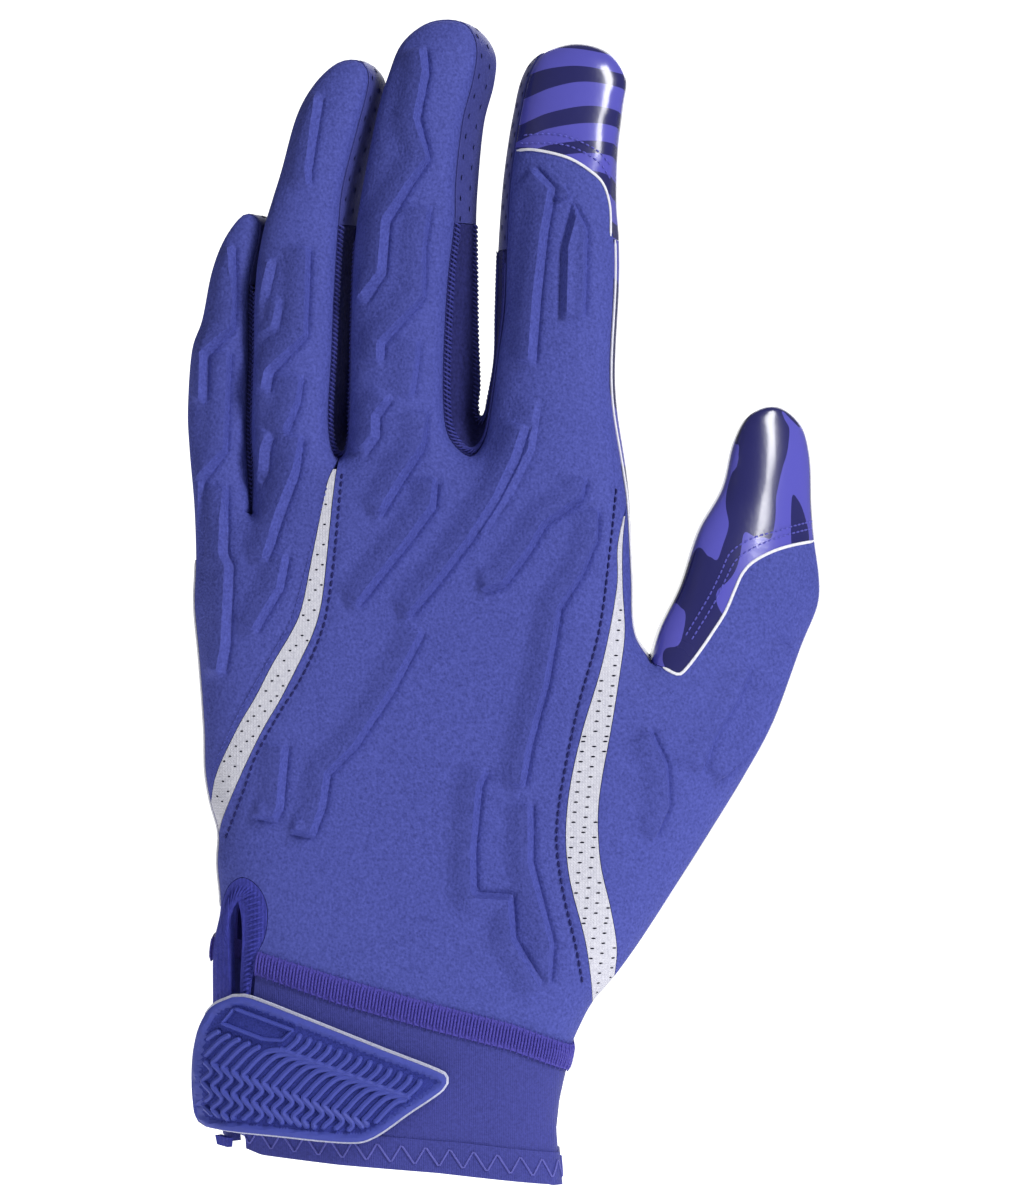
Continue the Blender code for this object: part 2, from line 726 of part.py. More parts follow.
def relief_points(relief):
    """Return the points that the mesh needs along the foot and top of each pad's step."""
    points = []
    for _, rows in relief:
        line, _ = spline(on_grid(rows), 1.2 * EDGE_STEP)
        normal = outward(line)
        points.append(line)
        points.append(line + PAD_SHOULDER * normal)
        points.append(line + (PAD_SHOULDER + PAD_FADE) * normal)
    return np.vstack(points) if points else np.zeros((0, 2))


def point_inside(flat, ring):
    """Tell which points lie inside a closed ring."""
    odd = np.zeros(len(flat), dtype=bool)
    for head, tail in zip(ring, np.roll(ring, 1, axis=0)):
        if head[1] == tail[1]:
            continue
        between = (head[1] > flat[:, 1]) != (tail[1] > flat[:, 1])
        cross = (tail[0] - head[0]) * (flat[:, 1] - head[1]) / (tail[1] - head[1]) + head[0]
        odd ^= between & (flat[:, 0] < cross)
    return odd


def ring_distance(flat, ring):
    """Return each point's distance to a closed ring."""
    best = np.full(len(flat), np.inf)
    for base, tip in zip(ring, np.roll(ring, -1, axis=0)):
        edge = tip - base
        square = max(float(edge @ edge), 1e-18)
        offset = flat - base
        share = np.clip((offset @ edge) / square, 0.0, 1.0)
        gap = offset - share[:, None] * edge
        best = np.minimum(best, (gap * gap).sum(axis=1))
    return np.sqrt(best)


def lattice(ring, step):
    """Return a triangular lattice of points inside a ring, clear of its edge."""
    low, high = ring.min(axis=0), ring.max(axis=0)
    rows = []
    height = step * math.sqrt(3.0) / 2.0
    for number in range(int((high[1] - low[1]) / height) + 2):
        across = np.arange(low[0] + 0.5 * step * (number % 2), high[0], step)
        rows.append(np.stack([across, np.full(len(across), low[1] + number * height)], axis=1))
    points = np.vstack(rows)
    points = points[point_inside(points, ring)]
    return points[ring_distance(points, ring) > 0.45 * step]


def thin_out(points, spacing):
    """Drop points that lie closer than a spacing to one kept before them."""
    kept = []
    for point in points:
        if all((point[0] - other[0]) ** 2 + (point[1] - other[1]) ** 2 > spacing ** 2 for other in kept):
            kept.append(point)
    return np.array(kept).reshape(-1, 2)


def triangulate(ring, inner):
    """Return points and triangles that fill a ring through inner points."""
    points = np.vstack([ring, inner]) if len(inner) else ring
    vectors = [Vector((float(x), float(y))) for x, y in points]
    count = len(ring)
    result = delaunay_2d_cdt(vectors, [], [list(range(count))], 1, 1e-7, True)
    verts, _, faces, sources = result[0], result[1], result[2], result[3]
    flat = np.array([(vertex[0], vertex[1]) for vertex in verts])
    faces = np.array([list(face) for face in faces])
    faces = faces[point_inside(flat[faces].mean(axis=1), ring)]
    return flat, faces.tolist(), sources


def turn_of(corners):
    """Return twice the signed area of a triangle, positive where it runs anticlockwise."""
    first, second = corners[1] - corners[0], corners[2] - corners[0]
    return first[0] * second[1] - first[1] * second[0]


class Patch:
    """A piece of the back or palm surface inside a ring of outline and seam samples."""

    def __init__(self, outline, face):
        self.outline = outline
        self.face = face
        self.ring = []
        self.fixed = []
        self.on_back = face.towards < 0

    def curve(self):
        """Return the outline samples and normals of this patch's face."""
        if self.on_back:
            return self.outline.back, self.outline.back_normal
        return self.outline.palm, self.outline.palm_normal

    def along(self, first, last):
        """Follow the outline between two marks, drawn in by half a gap at both ends."""
        points, normals = self.curve()
        numbers = self.outline.span(first, last)
        for number in numbers:
            point = points[number].copy()
            if number == numbers[0]:
                point += 0.5 * SEAM_GAP * unit(points[number + 1] - point)
            if number == numbers[-1]:
                point += 0.5 * SEAM_GAP * unit(points[number - 1] - point)
            self.ring.append(point)
            self.fixed.append((number, normals[number]))
        return self

    def across(self, points):
        """Follow a seam, set off to the inside of the ring by half a gap, without its ends."""
        for point in inset_seam(points, -1)[1:-1]:
            self.ring.append(point)
            self.fixed.append(None)
        return self

    def fill(self, shell, lift=0.0, relief=(), step=LATTICE_STEP):
        """Add the filled ring to a shell and return the numbers of its outline points."""
        ring = np.array(self.ring)
        inner = [lattice(ring, step)]
        normals = outward(np.vstack([ring[-1], ring, ring[0]]))[1:-1]
        rim = ring - RIM_RING * normals
        inner.insert(0, rim)
        if relief:
            inner.insert(1, relief_points(relief))
        inner = np.vstack(inner)
        inner = inner[point_inside(inner, ring)]
        inner = inner[ring_distance(inner, ring) > 0.7 * RIM_RING]
        inner = thin_out(inner, 0.9 * RIM_RING)
        flat, faces, sources = triangulate(ring, inner)
        rise = relief_rise(flat, relief) if relief else None
        if rise is not None:
            rise = rise * smooth(ring_distance(flat, ring), 0.0, 2.0 * RIM_RING)
        points, normals = self.face.place(flat, lift, rise)
        numbers = {}
        total = []
        for place, (point, normal) in enumerate(zip(points, normals)):
            ring_place = [number for number in sources[place] if number < len(ring)]
            fixed = self.fixed[ring_place[0]] if ring_place else None
            if fixed is not None:
                normal = np.array([fixed[1][0], 0.0, fixed[1][1]])
                point = np.array([flat[place][0], self.face.seam_depth(flat[place:place + 1])[0], flat[place][1]])
            total.append(shell.add(point, normal))
            if fixed is not None:
                numbers[fixed[0]] = total[-1]
        for face in faces:
            anticlockwise = turn_of(flat[face]) > 0.0
            turned = face if anticlockwise == self.on_back else list(reversed(face))
            shell.faces.append(tuple(total[number] for number in turned))
        return numbers


def wrist_seam(line, first, last):
    """Return samples of a line round the wrist between two places across."""
    count = max(2, int(abs(last - first) / EDGE_STEP) + 1)
    across = np.linspace(first, last, count)
    return np.stack([across, line_up(line, across)], axis=1)


def lifted_plate(face, ring, lift, thick, name, paint, rim=0.0):
    """Build a plate that follows the wrist at a lift, with a raised rim of a given height."""
    shell = Shell()
    inner = lattice(ring, LATTICE_STEP)
    normals = outward(np.vstack([ring[-1], ring, ring[0]]))[1:-1]
    levels = (0.75 * TAB_RIM_WIDTH, TAB_RIM_WIDTH) if rim else (RIM_RING,)
    inner = np.vstack([ring - level * normals for level in levels] + [inner])
    inner = inner[point_inside(inner, ring)]
    inner = inner[ring_distance(inner, ring) > 0.7 * levels[0]]
    inner = thin_out(inner, 0.2 * levels[0])
    flat, faces, _ = triangulate(ring, inner)
    rise = rim * (1.0 - smooth(ring_distance(flat, ring), 0.78 * TAB_RIM_WIDTH, 0.98 * TAB_RIM_WIDTH))
    points, normals = face.place(flat, lift, rise)
    for point, normal in zip(points, normals):
        shell.add(point, normal)
    for triple in faces:
        shell.faces.append(tuple(triple if turn_of(flat[triple]) > 0.0 else reversed(triple)))
    return shell.solid(name, thick, paint)


def unit(vector):
    """Return a vector of length one."""
    return vector / max(float(np.linalg.norm(vector)), 1e-12)


def side_wall(shell, outline, back, palm, first, last, rows, joined=None, to_back=True, slant=(0.0, 0.0)):
    """Add the side wall between two marks to a shell.

    joined holds the numbers of points that the wall shares with a filled face: the back face
    where to_back is set, else the palm face. slant lets the wall's ends run on the slant.
    """
    numbers = outline.span(first, last)
    grid = []
    for row in range(rows + 1):
        share = row / rows
        line = []
        for number in numbers:
            start, end = outline.back[number].copy(), outline.palm[number].copy()
            if number in (numbers[0], numbers[-1]):
                other = numbers[1] if number == numbers[0] else numbers[-2]
                start += 0.5 * SEAM_GAP * unit(outline.back[other] - start)
                end += 0.5 * SEAM_GAP * unit(outline.palm[other] - end)
            front_depth = back.seam_depth(start[None])[0]
            rear_depth = palm.seam_depth(end[None])[0]
            length = rear_depth - front_depth
            low = 0.0 if joined is not None and to_back else SEAM_GAP / length
            high = 1.0 if joined is not None and not to_back else 1.0 - SEAM_GAP / length
            place = low + (high - low) * share
            flat = start + (end - start) * place
            normal = unit(outline.back_normal[number] * (1 - place) + outline.palm_normal[number] * place)
            flat = flat + 4.0 * place * (1.0 - place) * SIDE_BULGE * outline.bulge[number] * normal
            depth = front_depth + length * place
            shared = joined is not None and ((to_back and row == 0) or (not to_back and row == rows))
            if shared and number in joined:
                line.append(joined[number])
            else:
                line.append(shell.add(np.array([flat[0], depth, flat[1]]), np.array([normal[0], 0.0, normal[1]])))
        grid.append(line)
    shell.add_strip([list(line) for line in grid])


def round_wrist(start, end, lift):
    """Return places round the wrist, from a share of the back round to its outer edge."""
    spots = [("back", share) for share in cosine_run(start, 1.0, 14)]
    spots += [("thumb wall", share) for share in even_run(2)]
    spots += [("palm", share) for share in cosine_run(1.0, 0.0, 14)]
    spots += [("outer wall", share) for share in even_run(2)]
    if end > 0.0:
        return spots + [("back", share) for share in cosine_run(0.0, end, 3)]
    return spots + [("outer wall", 1.0 - (lift + SEAM_GAP) / (WRIST_SIDE_DEPTH + 2.0 * lift))]


def wrist_band(back, palm, spots, top, low, lift, thick, name, paint):
    """Build a band round the wrist between two lines, at places round it."""
    shell = Shell()
    rows = 2
    grid = []
    for row in range(rows + 1):
        share = row / rows
        line = []
        for side, spot in spots:
            point, normal = wrist_point(back, palm, side, spot, top, low, share, lift)
            line.append(shell.add(point, normal))
        grid.append(line)
    shell.add_strip(grid)
    return shell.solid(name, thick, paint)


def even_run(count):
    """Return the inner places of a wall, in shares of its depth."""
    return [(number + 1) / (count + 1) for number in range(count)]


def cosine_run(first, last, count):
    """Return places that crowd together towards a wrist edge at 0 or 1."""
    low = math.acos(1.0 - 2.0 * first)
    high = math.acos(1.0 - 2.0 * last)
    turns = np.linspace(low, high, count + 1)
    return [0.5 * (1.0 - math.cos(turn)) for turn in turns]


def wrist_point(back, palm, side, spot, top, low, share, lift):
    """Return a point and normal on the wrist, at a share of the way from one line to another."""
    guess = {"thumb wall": 1.0, "outer wall": 0.0}.get(side, spot)
    up = 0.0
    across = 0.0
    for _ in range(4):
        left = edge_across(up, True) - lift
        right = edge_across(up, False) + lift
        across = left + (right - left) * guess
        high = line_up(top, across) - 0.5 * SEAM_GAP
        up = high + (line_up(low, across) + 0.5 * SEAM_GAP - high) * share
    flat = np.array([[across, up]])
    if side in ("back", "palm") and 0.0 < guess < 1.0:
        face = back if side == "back" else palm
        points, normals = face.place(flat, lift)
        return points[0], normals[0]
    normal = np.array([1.0 if guess > 0.5 else -1.0, 0.0, 0.0])
    inner, _ = back.pull_in(flat, lift if lift else 1e-9)
    front = back.seam_depth(inner)[0] - lift
    rear = palm.seam_depth(inner)[0] + lift
    if side == "back":
        depth = front
    elif side == "palm":
        depth = rear
    elif side == "thumb wall":
        depth = front + (rear - front) * spot
    else:
        depth = rear + (front - rear) * spot
    return np.array([across, depth, up]), normal


def main():
    """Build the glove."""
    clear_scene()
    outline = Outline(EDGE_STEP)
    back = Face(outline.back, -1.0, BACK_CROWN)
    palm = Face(outline.palm, 1.0, PALM_CROWN)

    knit = material("blue_padded_knit", BLUE_KNIT, 0.75)
    grip = material("blue_grip", BLUE_GRIP, 0.22)
    side = material("blue_perforated_leather", BLUE_SIDE, 0.5)
    dark = material("dark_knit", BLUE_DARK, 0.85)
    white = material("white_flex_mesh", WHITE_MESH, 0.8)
    cuff = material("blue_jersey", BLUE_CUFF, 0.8)
    thread = material("purple_overlock", PURPLE_THREAD, 0.7)
    rubber = material("blue_rubber", BLUE_RUBBER, 0.55)
    hook = material("white_hook_backing", WHITE_HOOK, 0.9)

    marks = outline.marks
    curve = outline.back

    def mark(name):
        return curve[marks[name]]

    insert_left = seam(mark("crotch_ring"), INSERT_OUTER_LEFT, mark("insert_high"), EDGE_STEP)
    insert_right = seam(mark("crotch_ring"), INSERT_OUTER_RIGHT, mark("insert_low"), EDGE_STEP)
    inner_left = seam(mark("insert_apex"), INSERT_INNER_LEFT, mark("insert_end_left"), EDGE_STEP)
    inner_right = seam(mark("insert_apex"), INSERT_INNER_RIGHT, mark("insert_end_right"), EDGE_STEP)
    cap_edge = seam(mark("cap_left"), CAP_EDGE, mark("cap_right"), EDGE_STEP)
    grip_edge = seam(mark("web"), GRIP_EDGE, mark("grip_high"), EDGE_STEP)
    vent_edge = seam(on_grid(BAND_TOP[1]), VENT_EDGE, mark("vent_top"), EDGE_STEP)
    band_line = wrist_seam(BAND_TOP, mark("band_top_right")[0], vent_edge[0, 0])

    shell = Shell()
    patch = Patch(outline, back)
    patch.along("crotch_ring", "cap_left").across(cap_edge).along("cap_right", "insert_apex")
    patch.across(inner_left).along("insert_end_left", "band_top_right")
    patch.across(np.vstack([band_line, vent_edge[1:]]))
    patch.along("vent_top", "insert_low").across(insert_right[::-1])
    patch.fill(shell, relief=BACK_RELIEF)
    shell.solid("back_panel", BACK_THICK, knit)

    shell = Shell()
    patch = Patch(outline, back).along("insert_high", "crotch_ring").across(insert_left)
    patch.fill(shell, relief=OUTER_RELIEF)
    shell.solid("outer_back_panel", BACK_THICK, knit)

    shell = Shell()
    patch = Patch(outline, back).along("insert_apex", "web").across(grip_edge)
    patch.along("grip_high", "insert_end_right").across(inner_right[::-1])
    patch.fill(shell, relief=THUMB_RELIEF)
    shell.solid("thumb_back_panel", BACK_THICK, knit)

    shell = Shell()
    patch = Patch(outline, back).along("insert_low", "insert_high")
    patch.across(insert_left[2:][::-1]).across(insert_right[2:])
    patch.fill(shell)
    shell.solid("flex_insert_outer", INSERT_THICK, white)

    shell = Shell()
    patch = Patch(outline, back).along("insert_end_right", "insert_end_left")
    patch.across(inner_left[2:][::-1]).across(inner_right[2:])
    patch.fill(shell)
    shell.solid("flex_insert_inner", INSERT_THICK, white)

    shell = Shell()
    patch = Patch(outline, back).along("cap_left", "cap_right").across(cap_edge[::-1])
    joined = patch.fill(shell)
    side_wall(shell, outline, back, palm, "index_tip", "cap_right", 2, joined, True)
    shell.solid("index_tip_cap", PALM_THICK, grip)

    shell = Shell()
    patch = Patch(outline, back).along("web", "grip_high").across(grip_edge[::-1])
    joined = patch.fill(shell)
    side_wall(shell, outline, back, palm, "web", "grip_high", 2, joined, True)
    shell.solid("thumb_grip", PALM_THICK, grip)

    shell = Shell()
    patch = Patch(outline, palm).along("band_top_left", "band_top_right")
    ends = outline.palm[marks["band_top_right"]], outline.palm[marks["band_top_left"]]
    patch.across(wrist_seam(BAND_TOP, ends[0][0], ends[1][0]))
    joined = patch.fill(shell, step=PALM_LATTICE_STEP)
    side_wall(shell, outline, back, palm, "band_top_left", "little_tip", 2, joined, False)
    side_wall(shell, outline, back, palm, "cap_right", "web", 2, joined, False)
    side_wall(shell, outline, back, palm, "grip_high", "band_top_right", 2, joined, False)
    shell.solid("palm_panel", PALM_THICK, grip)

    strips = (
        ("little_side_strip", "little_tip", "little_join", side),
        ("gusset_little_ring", "little_join", "ring_join_left", dark),
        ("ring_side_strip", "ring_join_left", "ring_join_right", side),
        ("gusset_ring_middle", "ring_join_right", "middle_join_left", dark),
        ("middle_side_strip", "middle_join_left", "middle_join_right", side),
        ("gusset_middle_index", "middle_join_right", "index_join", dark),
        ("index_side_strip", "index_join", "index_tip", side),
    )
    for name, first, last, paint in strips:
        shell = Shell()
        side_wall(shell, outline, back, palm, first, last, 2)
        shell.solid(name, SIDE_THICK, paint)

    shell = Shell()
    patch = Patch(outline, back).along("vent_foot", "vent_top")
    slot, _ = spline(on_grid(VENT_SLOT), EDGE_STEP)
    leg, _ = spline(on_grid(VENT_LEG), EDGE_STEP)
    patch.across(np.vstack([vent_edge[::-1], leg[::-1], slot, mark("vent_foot")[None]]))
    patch.fill(shell)
    shell.solid("vent_binding", BINDING_THICK, cuff)

    spots = round_wrist(BAND_START, 0.0, BAND_RISE)
    wrist_band(back, palm, spots, BAND_TOP, BAND_LOW, BAND_RISE, BAND_THICK, "overlock_band", thread)
    spots = round_wrist(CUFF_START, 0.0, 0.0)
    wrist_band(back, palm, spots, BAND_LOW, HEM_TOP, 0.0, CUFF_THICK, "cuff_band", cuff)
    spots = round_wrist(HEM_START, HEM_END, HEM_RISE)
    wrist_band(back, palm, spots, HEM_TOP, HEM_LOW, HEM_RISE, HEM_THICK, "cuff_hem", cuff)

    clear = max(BAND_RISE, HEM_RISE) + LAYER_GAP
    strap_lift = clear + STRAP_THICK
    strap = [("palm", share) for share in cosine_run(STRAP_END, 0.0, 9)]
    strap += [("outer wall", share) for share in (0.33, 0.66, 0.95)]
    wrist_band(back, palm, strap, STRAP_TOP, STRAP_LOW, strap_lift, STRAP_THICK, "strap_webbing", cuff)

    backing_lift = clear + BACKING_THICK
    tab_lift = backing_lift + LAYER_GAP + TAB_THICK
    tab, _ = spline(on_grid((*TAB_OUTLINE, TAB_OUTLINE[0])), 0.8 * EDGE_STEP)
    tab = tab[:-1]
    lifted_plate(back, tab, tab_lift, TAB_THICK, "strap_tab", rubber, TAB_RIM_RISE)
    grown = tab + BACKING_BORDER * outward(np.vstack([tab[-1], tab, tab[0]]))[1:-1]
    limit = edge_across(grown[:, 1], True) - backing_lift + BACKING_BORDER
    grown[:, 0] = np.maximum(grown[:, 0], limit)
    lifted_plate(back, grown, backing_lift, BACKING_THICK, "strap_backing", hook)
    lifted_plate(back, on_grid(WEBBING_END), strap_lift, STRAP_THICK, "webbing_end", cuff)


if __name__ == "__main__":
    main()
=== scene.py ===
"""Dressed model of a left-hand football receiver glove, open in its worn shape.

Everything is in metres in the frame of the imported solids: +Z towards the fingertips, the back of
the hand faces -Y and the thumb points to +X. Outline tables count in steps of the pattern grid.
"""

import logging
import math
import random
from collections.abc import Callable, Sequence
from dataclasses import dataclass, field
from enum import Enum

import bpy
import numpy as np
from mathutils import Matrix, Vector
from mathutils.geometry import delaunay_2d_cdt


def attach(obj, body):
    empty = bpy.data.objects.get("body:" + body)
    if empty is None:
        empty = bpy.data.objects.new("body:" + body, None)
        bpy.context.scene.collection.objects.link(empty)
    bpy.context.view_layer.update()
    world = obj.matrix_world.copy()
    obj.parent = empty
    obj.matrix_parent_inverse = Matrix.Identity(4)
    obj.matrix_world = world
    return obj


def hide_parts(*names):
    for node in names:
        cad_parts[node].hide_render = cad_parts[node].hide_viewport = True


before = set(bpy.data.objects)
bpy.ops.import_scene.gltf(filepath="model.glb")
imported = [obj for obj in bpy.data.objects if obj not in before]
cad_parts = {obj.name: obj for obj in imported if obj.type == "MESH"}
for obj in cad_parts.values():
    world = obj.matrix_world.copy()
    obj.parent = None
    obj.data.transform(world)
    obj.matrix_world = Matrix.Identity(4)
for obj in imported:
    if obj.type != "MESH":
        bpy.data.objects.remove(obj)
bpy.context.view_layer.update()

LOG = logging.getLogger("glove")
ROOT = "root"

Rows = Sequence[Sequence[float]] | np.ndarray
Relief = Sequence[tuple[float, Rows]]
Socket = bpy.types.NodeSocket

# Overall sizes and depths, as in the solids
GLOVE_WIDTH = 0.1323
GLOVE_LENGTH = 0.2436
FINGER_SIDE_DEPTH = 0.0085
HAND_SIDE_DEPTH = 0.0125
WRIST_SIDE_DEPTH = 0.0150
CROWN_REACH = 0.0120
BACK_CROWN = 0.60
PALM_CROWN = 0.52
WRIST_CROWN = 0.76
FINGER_CURL = 0.0080
LITTLE_SET_BACK = 0.0030
THUMB_SET_BACK = 0.0110
SIDE_BULGE = 0.0010
SEAM_GAP = 0.00015
LAP = 0.0002
BAND_RISE = 0.0005
HEM_RISE = 0.0004
LAYER_GAP = 0.0003
STRAP_THICK = 0.0014
BACKING_THICK = 0.0013
TAB_THICK = 0.0016
TAB_RIM_RISE = 0.0008
TAB_RIM_WIDTH = 0.0017
BACKING_BORDER = 0.0005
PAD_RISE = 0.0019
PAD_SHOULDER = 0.0011
PAD_FADE = 0.0055
PAD_ROWS = (-0.7, -0.25, 0.2, 0.6, 1.0, 1.5)
PAD_TAPER = 0.35
FOOT_DEPTH = 0.30
FOOT_PLACE = -0.25
FOOT_HALF = 0.42
BEAD_RISE = 0.10
BEAD_PLACE = 0.9
BEAD_HALF = 0.45
BAND_PITCH = 0.0075
BAND_PHASE = -3.64

# Pattern grid
GRID_WIDE = 630
GRID_LONG = 1160
GRID_ORIGIN = (392, 1158)

# Mesh fineness
FIELD_CELL = 0.0012
FIELD_SWEEPS = 700
CHART_CELL = 0.0008
EDGE_STEP = 0.0012
RIM_ROWS = (0.00035, 0.0009)
SEWN_STEP = 0.0008
RIB_STEP = 0.0004
NEVER_SHARP = 180.0

# Back seam: mark, steps across and down, shift of the palm seam across and down, bulge of the side
OUTLINE = (
    ("cuff_left", 230, 1190, 2, 0, 0.3),
    ("", 226, 1130, 2, 0, 0.3),
    ("vent_foot", 222, 1108, 2, 0, 0.3),
    ("", 216, 1075, 2, 0, 0.3),
    ("", 214, 1035, 2, 0, 0.3),
    ("", 214, 995, 2, 0, 0.3),
    ("band_low_left", 214, 957, 2, 0, 0.3),
    ("band_top_left", 216, 936, 2, 0, 0.3),
    ("vent_top", 222, 905, 3, 0, 0.6),
    ("", 219, 862, 3, 0, 0.8),
    ("insert_low", 220, 831, 4, 0, 0.8),
    ("insert_high", 212, 801, 4, 0, 0.8),
    ("", 207, 770, 4, 0, 0.8),
    ("", 206, 730, 4, 0, 0.8),
    ("", 201, 660, 4, 0, 0.8),
    ("", 196, 605, 5, 0, 0.8),
    ("raw_edge_top", 197, 560, 8, 0, 0.6),
    ("", 195, 505, 12, 0, 0.5),
    ("", 190, 450, 16, 0, 0.4),
    ("", 188, 410, 18, 0, 0.4),
    ("", 192, 350, 20, 0, 0.3),
    ("", 202, 320, 20, 0, 0.3),
    ("", 211, 274, 20, 0, 0.3),
    ("", 222, 243, 20, 0, 0.3),
    ("little_tip", 237, 220, 17, 0, 0.3),
    ("", 248, 214, 14, 0, 0.2),
    ("", 257, 219, 17, 0, 0.1),
    ("", 259, 232, 19, 0, 0.0),
    ("little_join", 249, 285, 20, 0, 0.0),
    ("", 248, 361, 20, 0, 0.0),
    ("", 246, 430, 20, -4, 0.0),
    ("", 248, 475, 20, -14, 0.0),
    ("crotch_little", 252, 514, 20, -27, 0.0),
    ("", 254, 475, 20, -14, 0.0),
    ("", 252, 430, 20, -4, 0.0),
    ("", 254, 361, 20, 0, 0.0),
    ("ring_join_left", 256, 282, 20, 0, 0.0),
    ("", 264, 230, 20, 0, 0.1),
    ("", 281, 173, 20, 0, 0.3),
    ("", 297, 115, 20, 0, 0.3),
    ("", 315, 83, 18, 0, 0.3),
    ("ring_tip", 337, 63, 14, 0, 0.3),
    ("", 356, 60, 12, 0, 0.3),
    ("", 366, 68, 14, 2, 0.3),
    ("", 367, 86, 18, 0, 0.4),
    ("", 356, 130, 20, 0, 0.4),
    ("", 342, 187, 20, 0, 0.4),
    ("ring_join_right", 338, 225, 20, 0, 0.4),
    ("", 334, 292, 20, 0, 0.3),
    ("", 331, 361, 20, 0, 0.2),
    ("", 328, 420, 21, -8, 0.1),
    ("", 332, 450, 20, -20, 0.0),
    ("crotch_ring", 339, 459, 21, -27, 0.0),
    ("", 347, 447, 20, -20, 0.0),
    ("", 350, 410, 20, -8, 0.1),
    ("", 352, 304, 20, 0, 0.2),
    ("middle_join_left", 356, 232, 20, 0, 0.3),
    ("", 366, 170, 20, 0, 0.3),
    ("", 379, 106, 19, 0, 0.3),
    ("", 388, 76, 18, 0, 0.3),
    ("", 401, 44, 16, 0, 0.3),
    ("middle_tip", 424, 24, 12, 0, 0.3),
    ("", 448, 19, 10, 0, 0.3),
    ("", 467, 25, 13, 2, 0.3),
    ("", 476, 46, 19, 4, 0.4),
    ("", 472, 80, 22, 0, 0.4),
    ("", 462, 120, 22, 0, 0.4),
    ("", 455, 180, 23, 0, 0.4),
    ("middle_join_right", 454, 223, 22, 0, 0.4),
    ("", 448, 275, 29, 0, 0.3),
    ("", 444, 338, 34, -6, 0.2),
    ("", 443, 402, 37, -18, 0.0),
    ("", 449, 438, 29, -32, 0.0),
    ("crotch_middle", 470, 457, 12, -38, 0.0),
    ("", 484, 442, 2, -28, 0.0),
    ("", 491, 412, -3, -13, 0.0),
    ("", 498, 360, -3, -2, 0.1),
    ("", 505, 310, -9, 0, 0.2),
    ("index_join", 507, 250, -9, 0, 0.3),
    ("", 510, 190, -8, 0, 0.3),
    ("cap_left", 515, 148, -8, 0, 0.3),
    ("", 521, 112, -8, 0, 0.3),
    ("", 530, 74, -8, 0, 0.3),
    ("index_tip", 544, 52, -7, 2, 0.3),
    ("", 576, 42, 0, 2, 0.3),
    ("", 608, 51, 0, 2, 0.3),
    ("", 625, 76, 0, 0, 0.3),
    ("", 622, 104, 0, 0, 0.4),
    ("", 615, 150, 1, 0, 0.6),
    ("", 612, 200, 2, 0, 0.8),
    ("cap_right", 613, 240, 3, 0, 1.0),
    ("", 613, 285, 3, 0, 1.0),
    ("", 609, 365, 3, 0, 1.0),
    ("", 611, 410, 3, 0, 1.0),
    ("", 621, 470, 3, 0, 0.8),
    ("insert_apex", 626, 505, 2, 0, 0.6),
    ("", 630, 575, 1, 0, 0.4),
    ("", 633, 632, 1, -4, 0.2),
    ("web", 650, 662, 0, -8, 0.0),
    ("", 659, 630, 0, -4, 0.1),
    ("", 680, 586, 0, 0, 0.3),
    ("", 699, 531, 0, 0, 0.4),
    ("", 723, 488, 0, 0, 0.4),
    ("", 735, 442, 0, 0, 0.4),
    ("", 751, 414, 0, 2, 0.4),
    ("thumb_tip", 777, 406, 0, 2, 0.4),
    ("", 800, 422, 0, 2, 0.4),
    ("", 810, 455, 0, 0, 0.4),
    ("", 812, 505, 0, 0, 0.4),
    ("grip_high", 815, 540, 0, 0, 0.4),
    ("", 820, 580, 0, 0, 0.4),
    ("", 818, 606, 0, 0, 0.4),
    ("", 802, 645, 0, 0, 0.4),
    ("", 773, 722, 0, 0, 0.4),
    ("", 744, 775, 0, 0, 0.4),
    ("", 708, 833, 0, 0, 0.4),
    ("", 670, 892, 0, 0, 0.4),
    ("", 640, 938, 0, 0, 0.3),
    ("insert_end_right", 614, 974, -2, 0, 0.3),
    ("insert_end_left", 592, 1000, -2, 0, 0.3),
    ("", 580, 1022, -2, 0, 0.3),
    ("band_top_right", 571, 1043, -2, 0, 0.3),
    ("band_low_right", 566, 1066, -2, 0, 0.3),
    ("", 559, 1098, -2, 0, 0.3),
    ("", 556, 1126, -2, 0, 0.3),
    ("cuff_right", 561, 1190, -2, 0, 0.3),
)
SHARP_MARKS = ("crotch_little", "web")
SKIRT_DOWN = 1420

INSERT_OUTER_LEFT = (
    (329, 481), (323, 509), (313, 560), (303, 609), (293, 632), (274, 664),
    (258, 695), (242, 722), (224, 758), (216, 779),
)
INSERT_OUTER_RIGHT = (
    (336, 481), (333, 507), (328, 560), (323, 603), (315, 632), (301, 662),
    (282, 699), (266, 726), (248, 762), (231, 800), (223, 820),
)
INSERT_INNER_LEFT = (
    (617, 545), (616, 587), (602, 660), (581, 731), (569, 786), (565, 833),
    (569, 877), (584, 936), (590, 975),
)
INSERT_INNER_RIGHT = (
    (622, 545), (622, 587), (624, 632), (619, 672), (610, 728), (600, 783),
    (597, 819), (600, 863), (610, 907), (616, 945),
)
CAP_EDGE = ((534, 150), (567, 158), (588, 170), (603, 184), (609, 208))
GRIP_EDGE = (
    (662, 667), (677, 673), (699, 649), (724, 611), (734, 588), (741, 573),
    (752, 561), (773, 550), (793, 544),
)
VENT_EDGE = ((268, 930), (269, 903), (260, 884), (245, 875), (231, 883))
VENT_LEG = ((252, 1108), (251, 1050), (253, 985))
VENT_SLOT = (
    (242, 1108), (242, 987), (244, 935), (242, 908), (237, 897), (232, 908),
    (230, 935), (232, 987), (233, 1108),
)
BAND_TOP = ((214, 936), (260, 949), (341, 974), (438, 1001), (511, 1020), (571, 1043))
BAND_LOW = ((214, 957), (256, 969), (341, 998), (438, 1025), (511, 1044), (568, 1066))
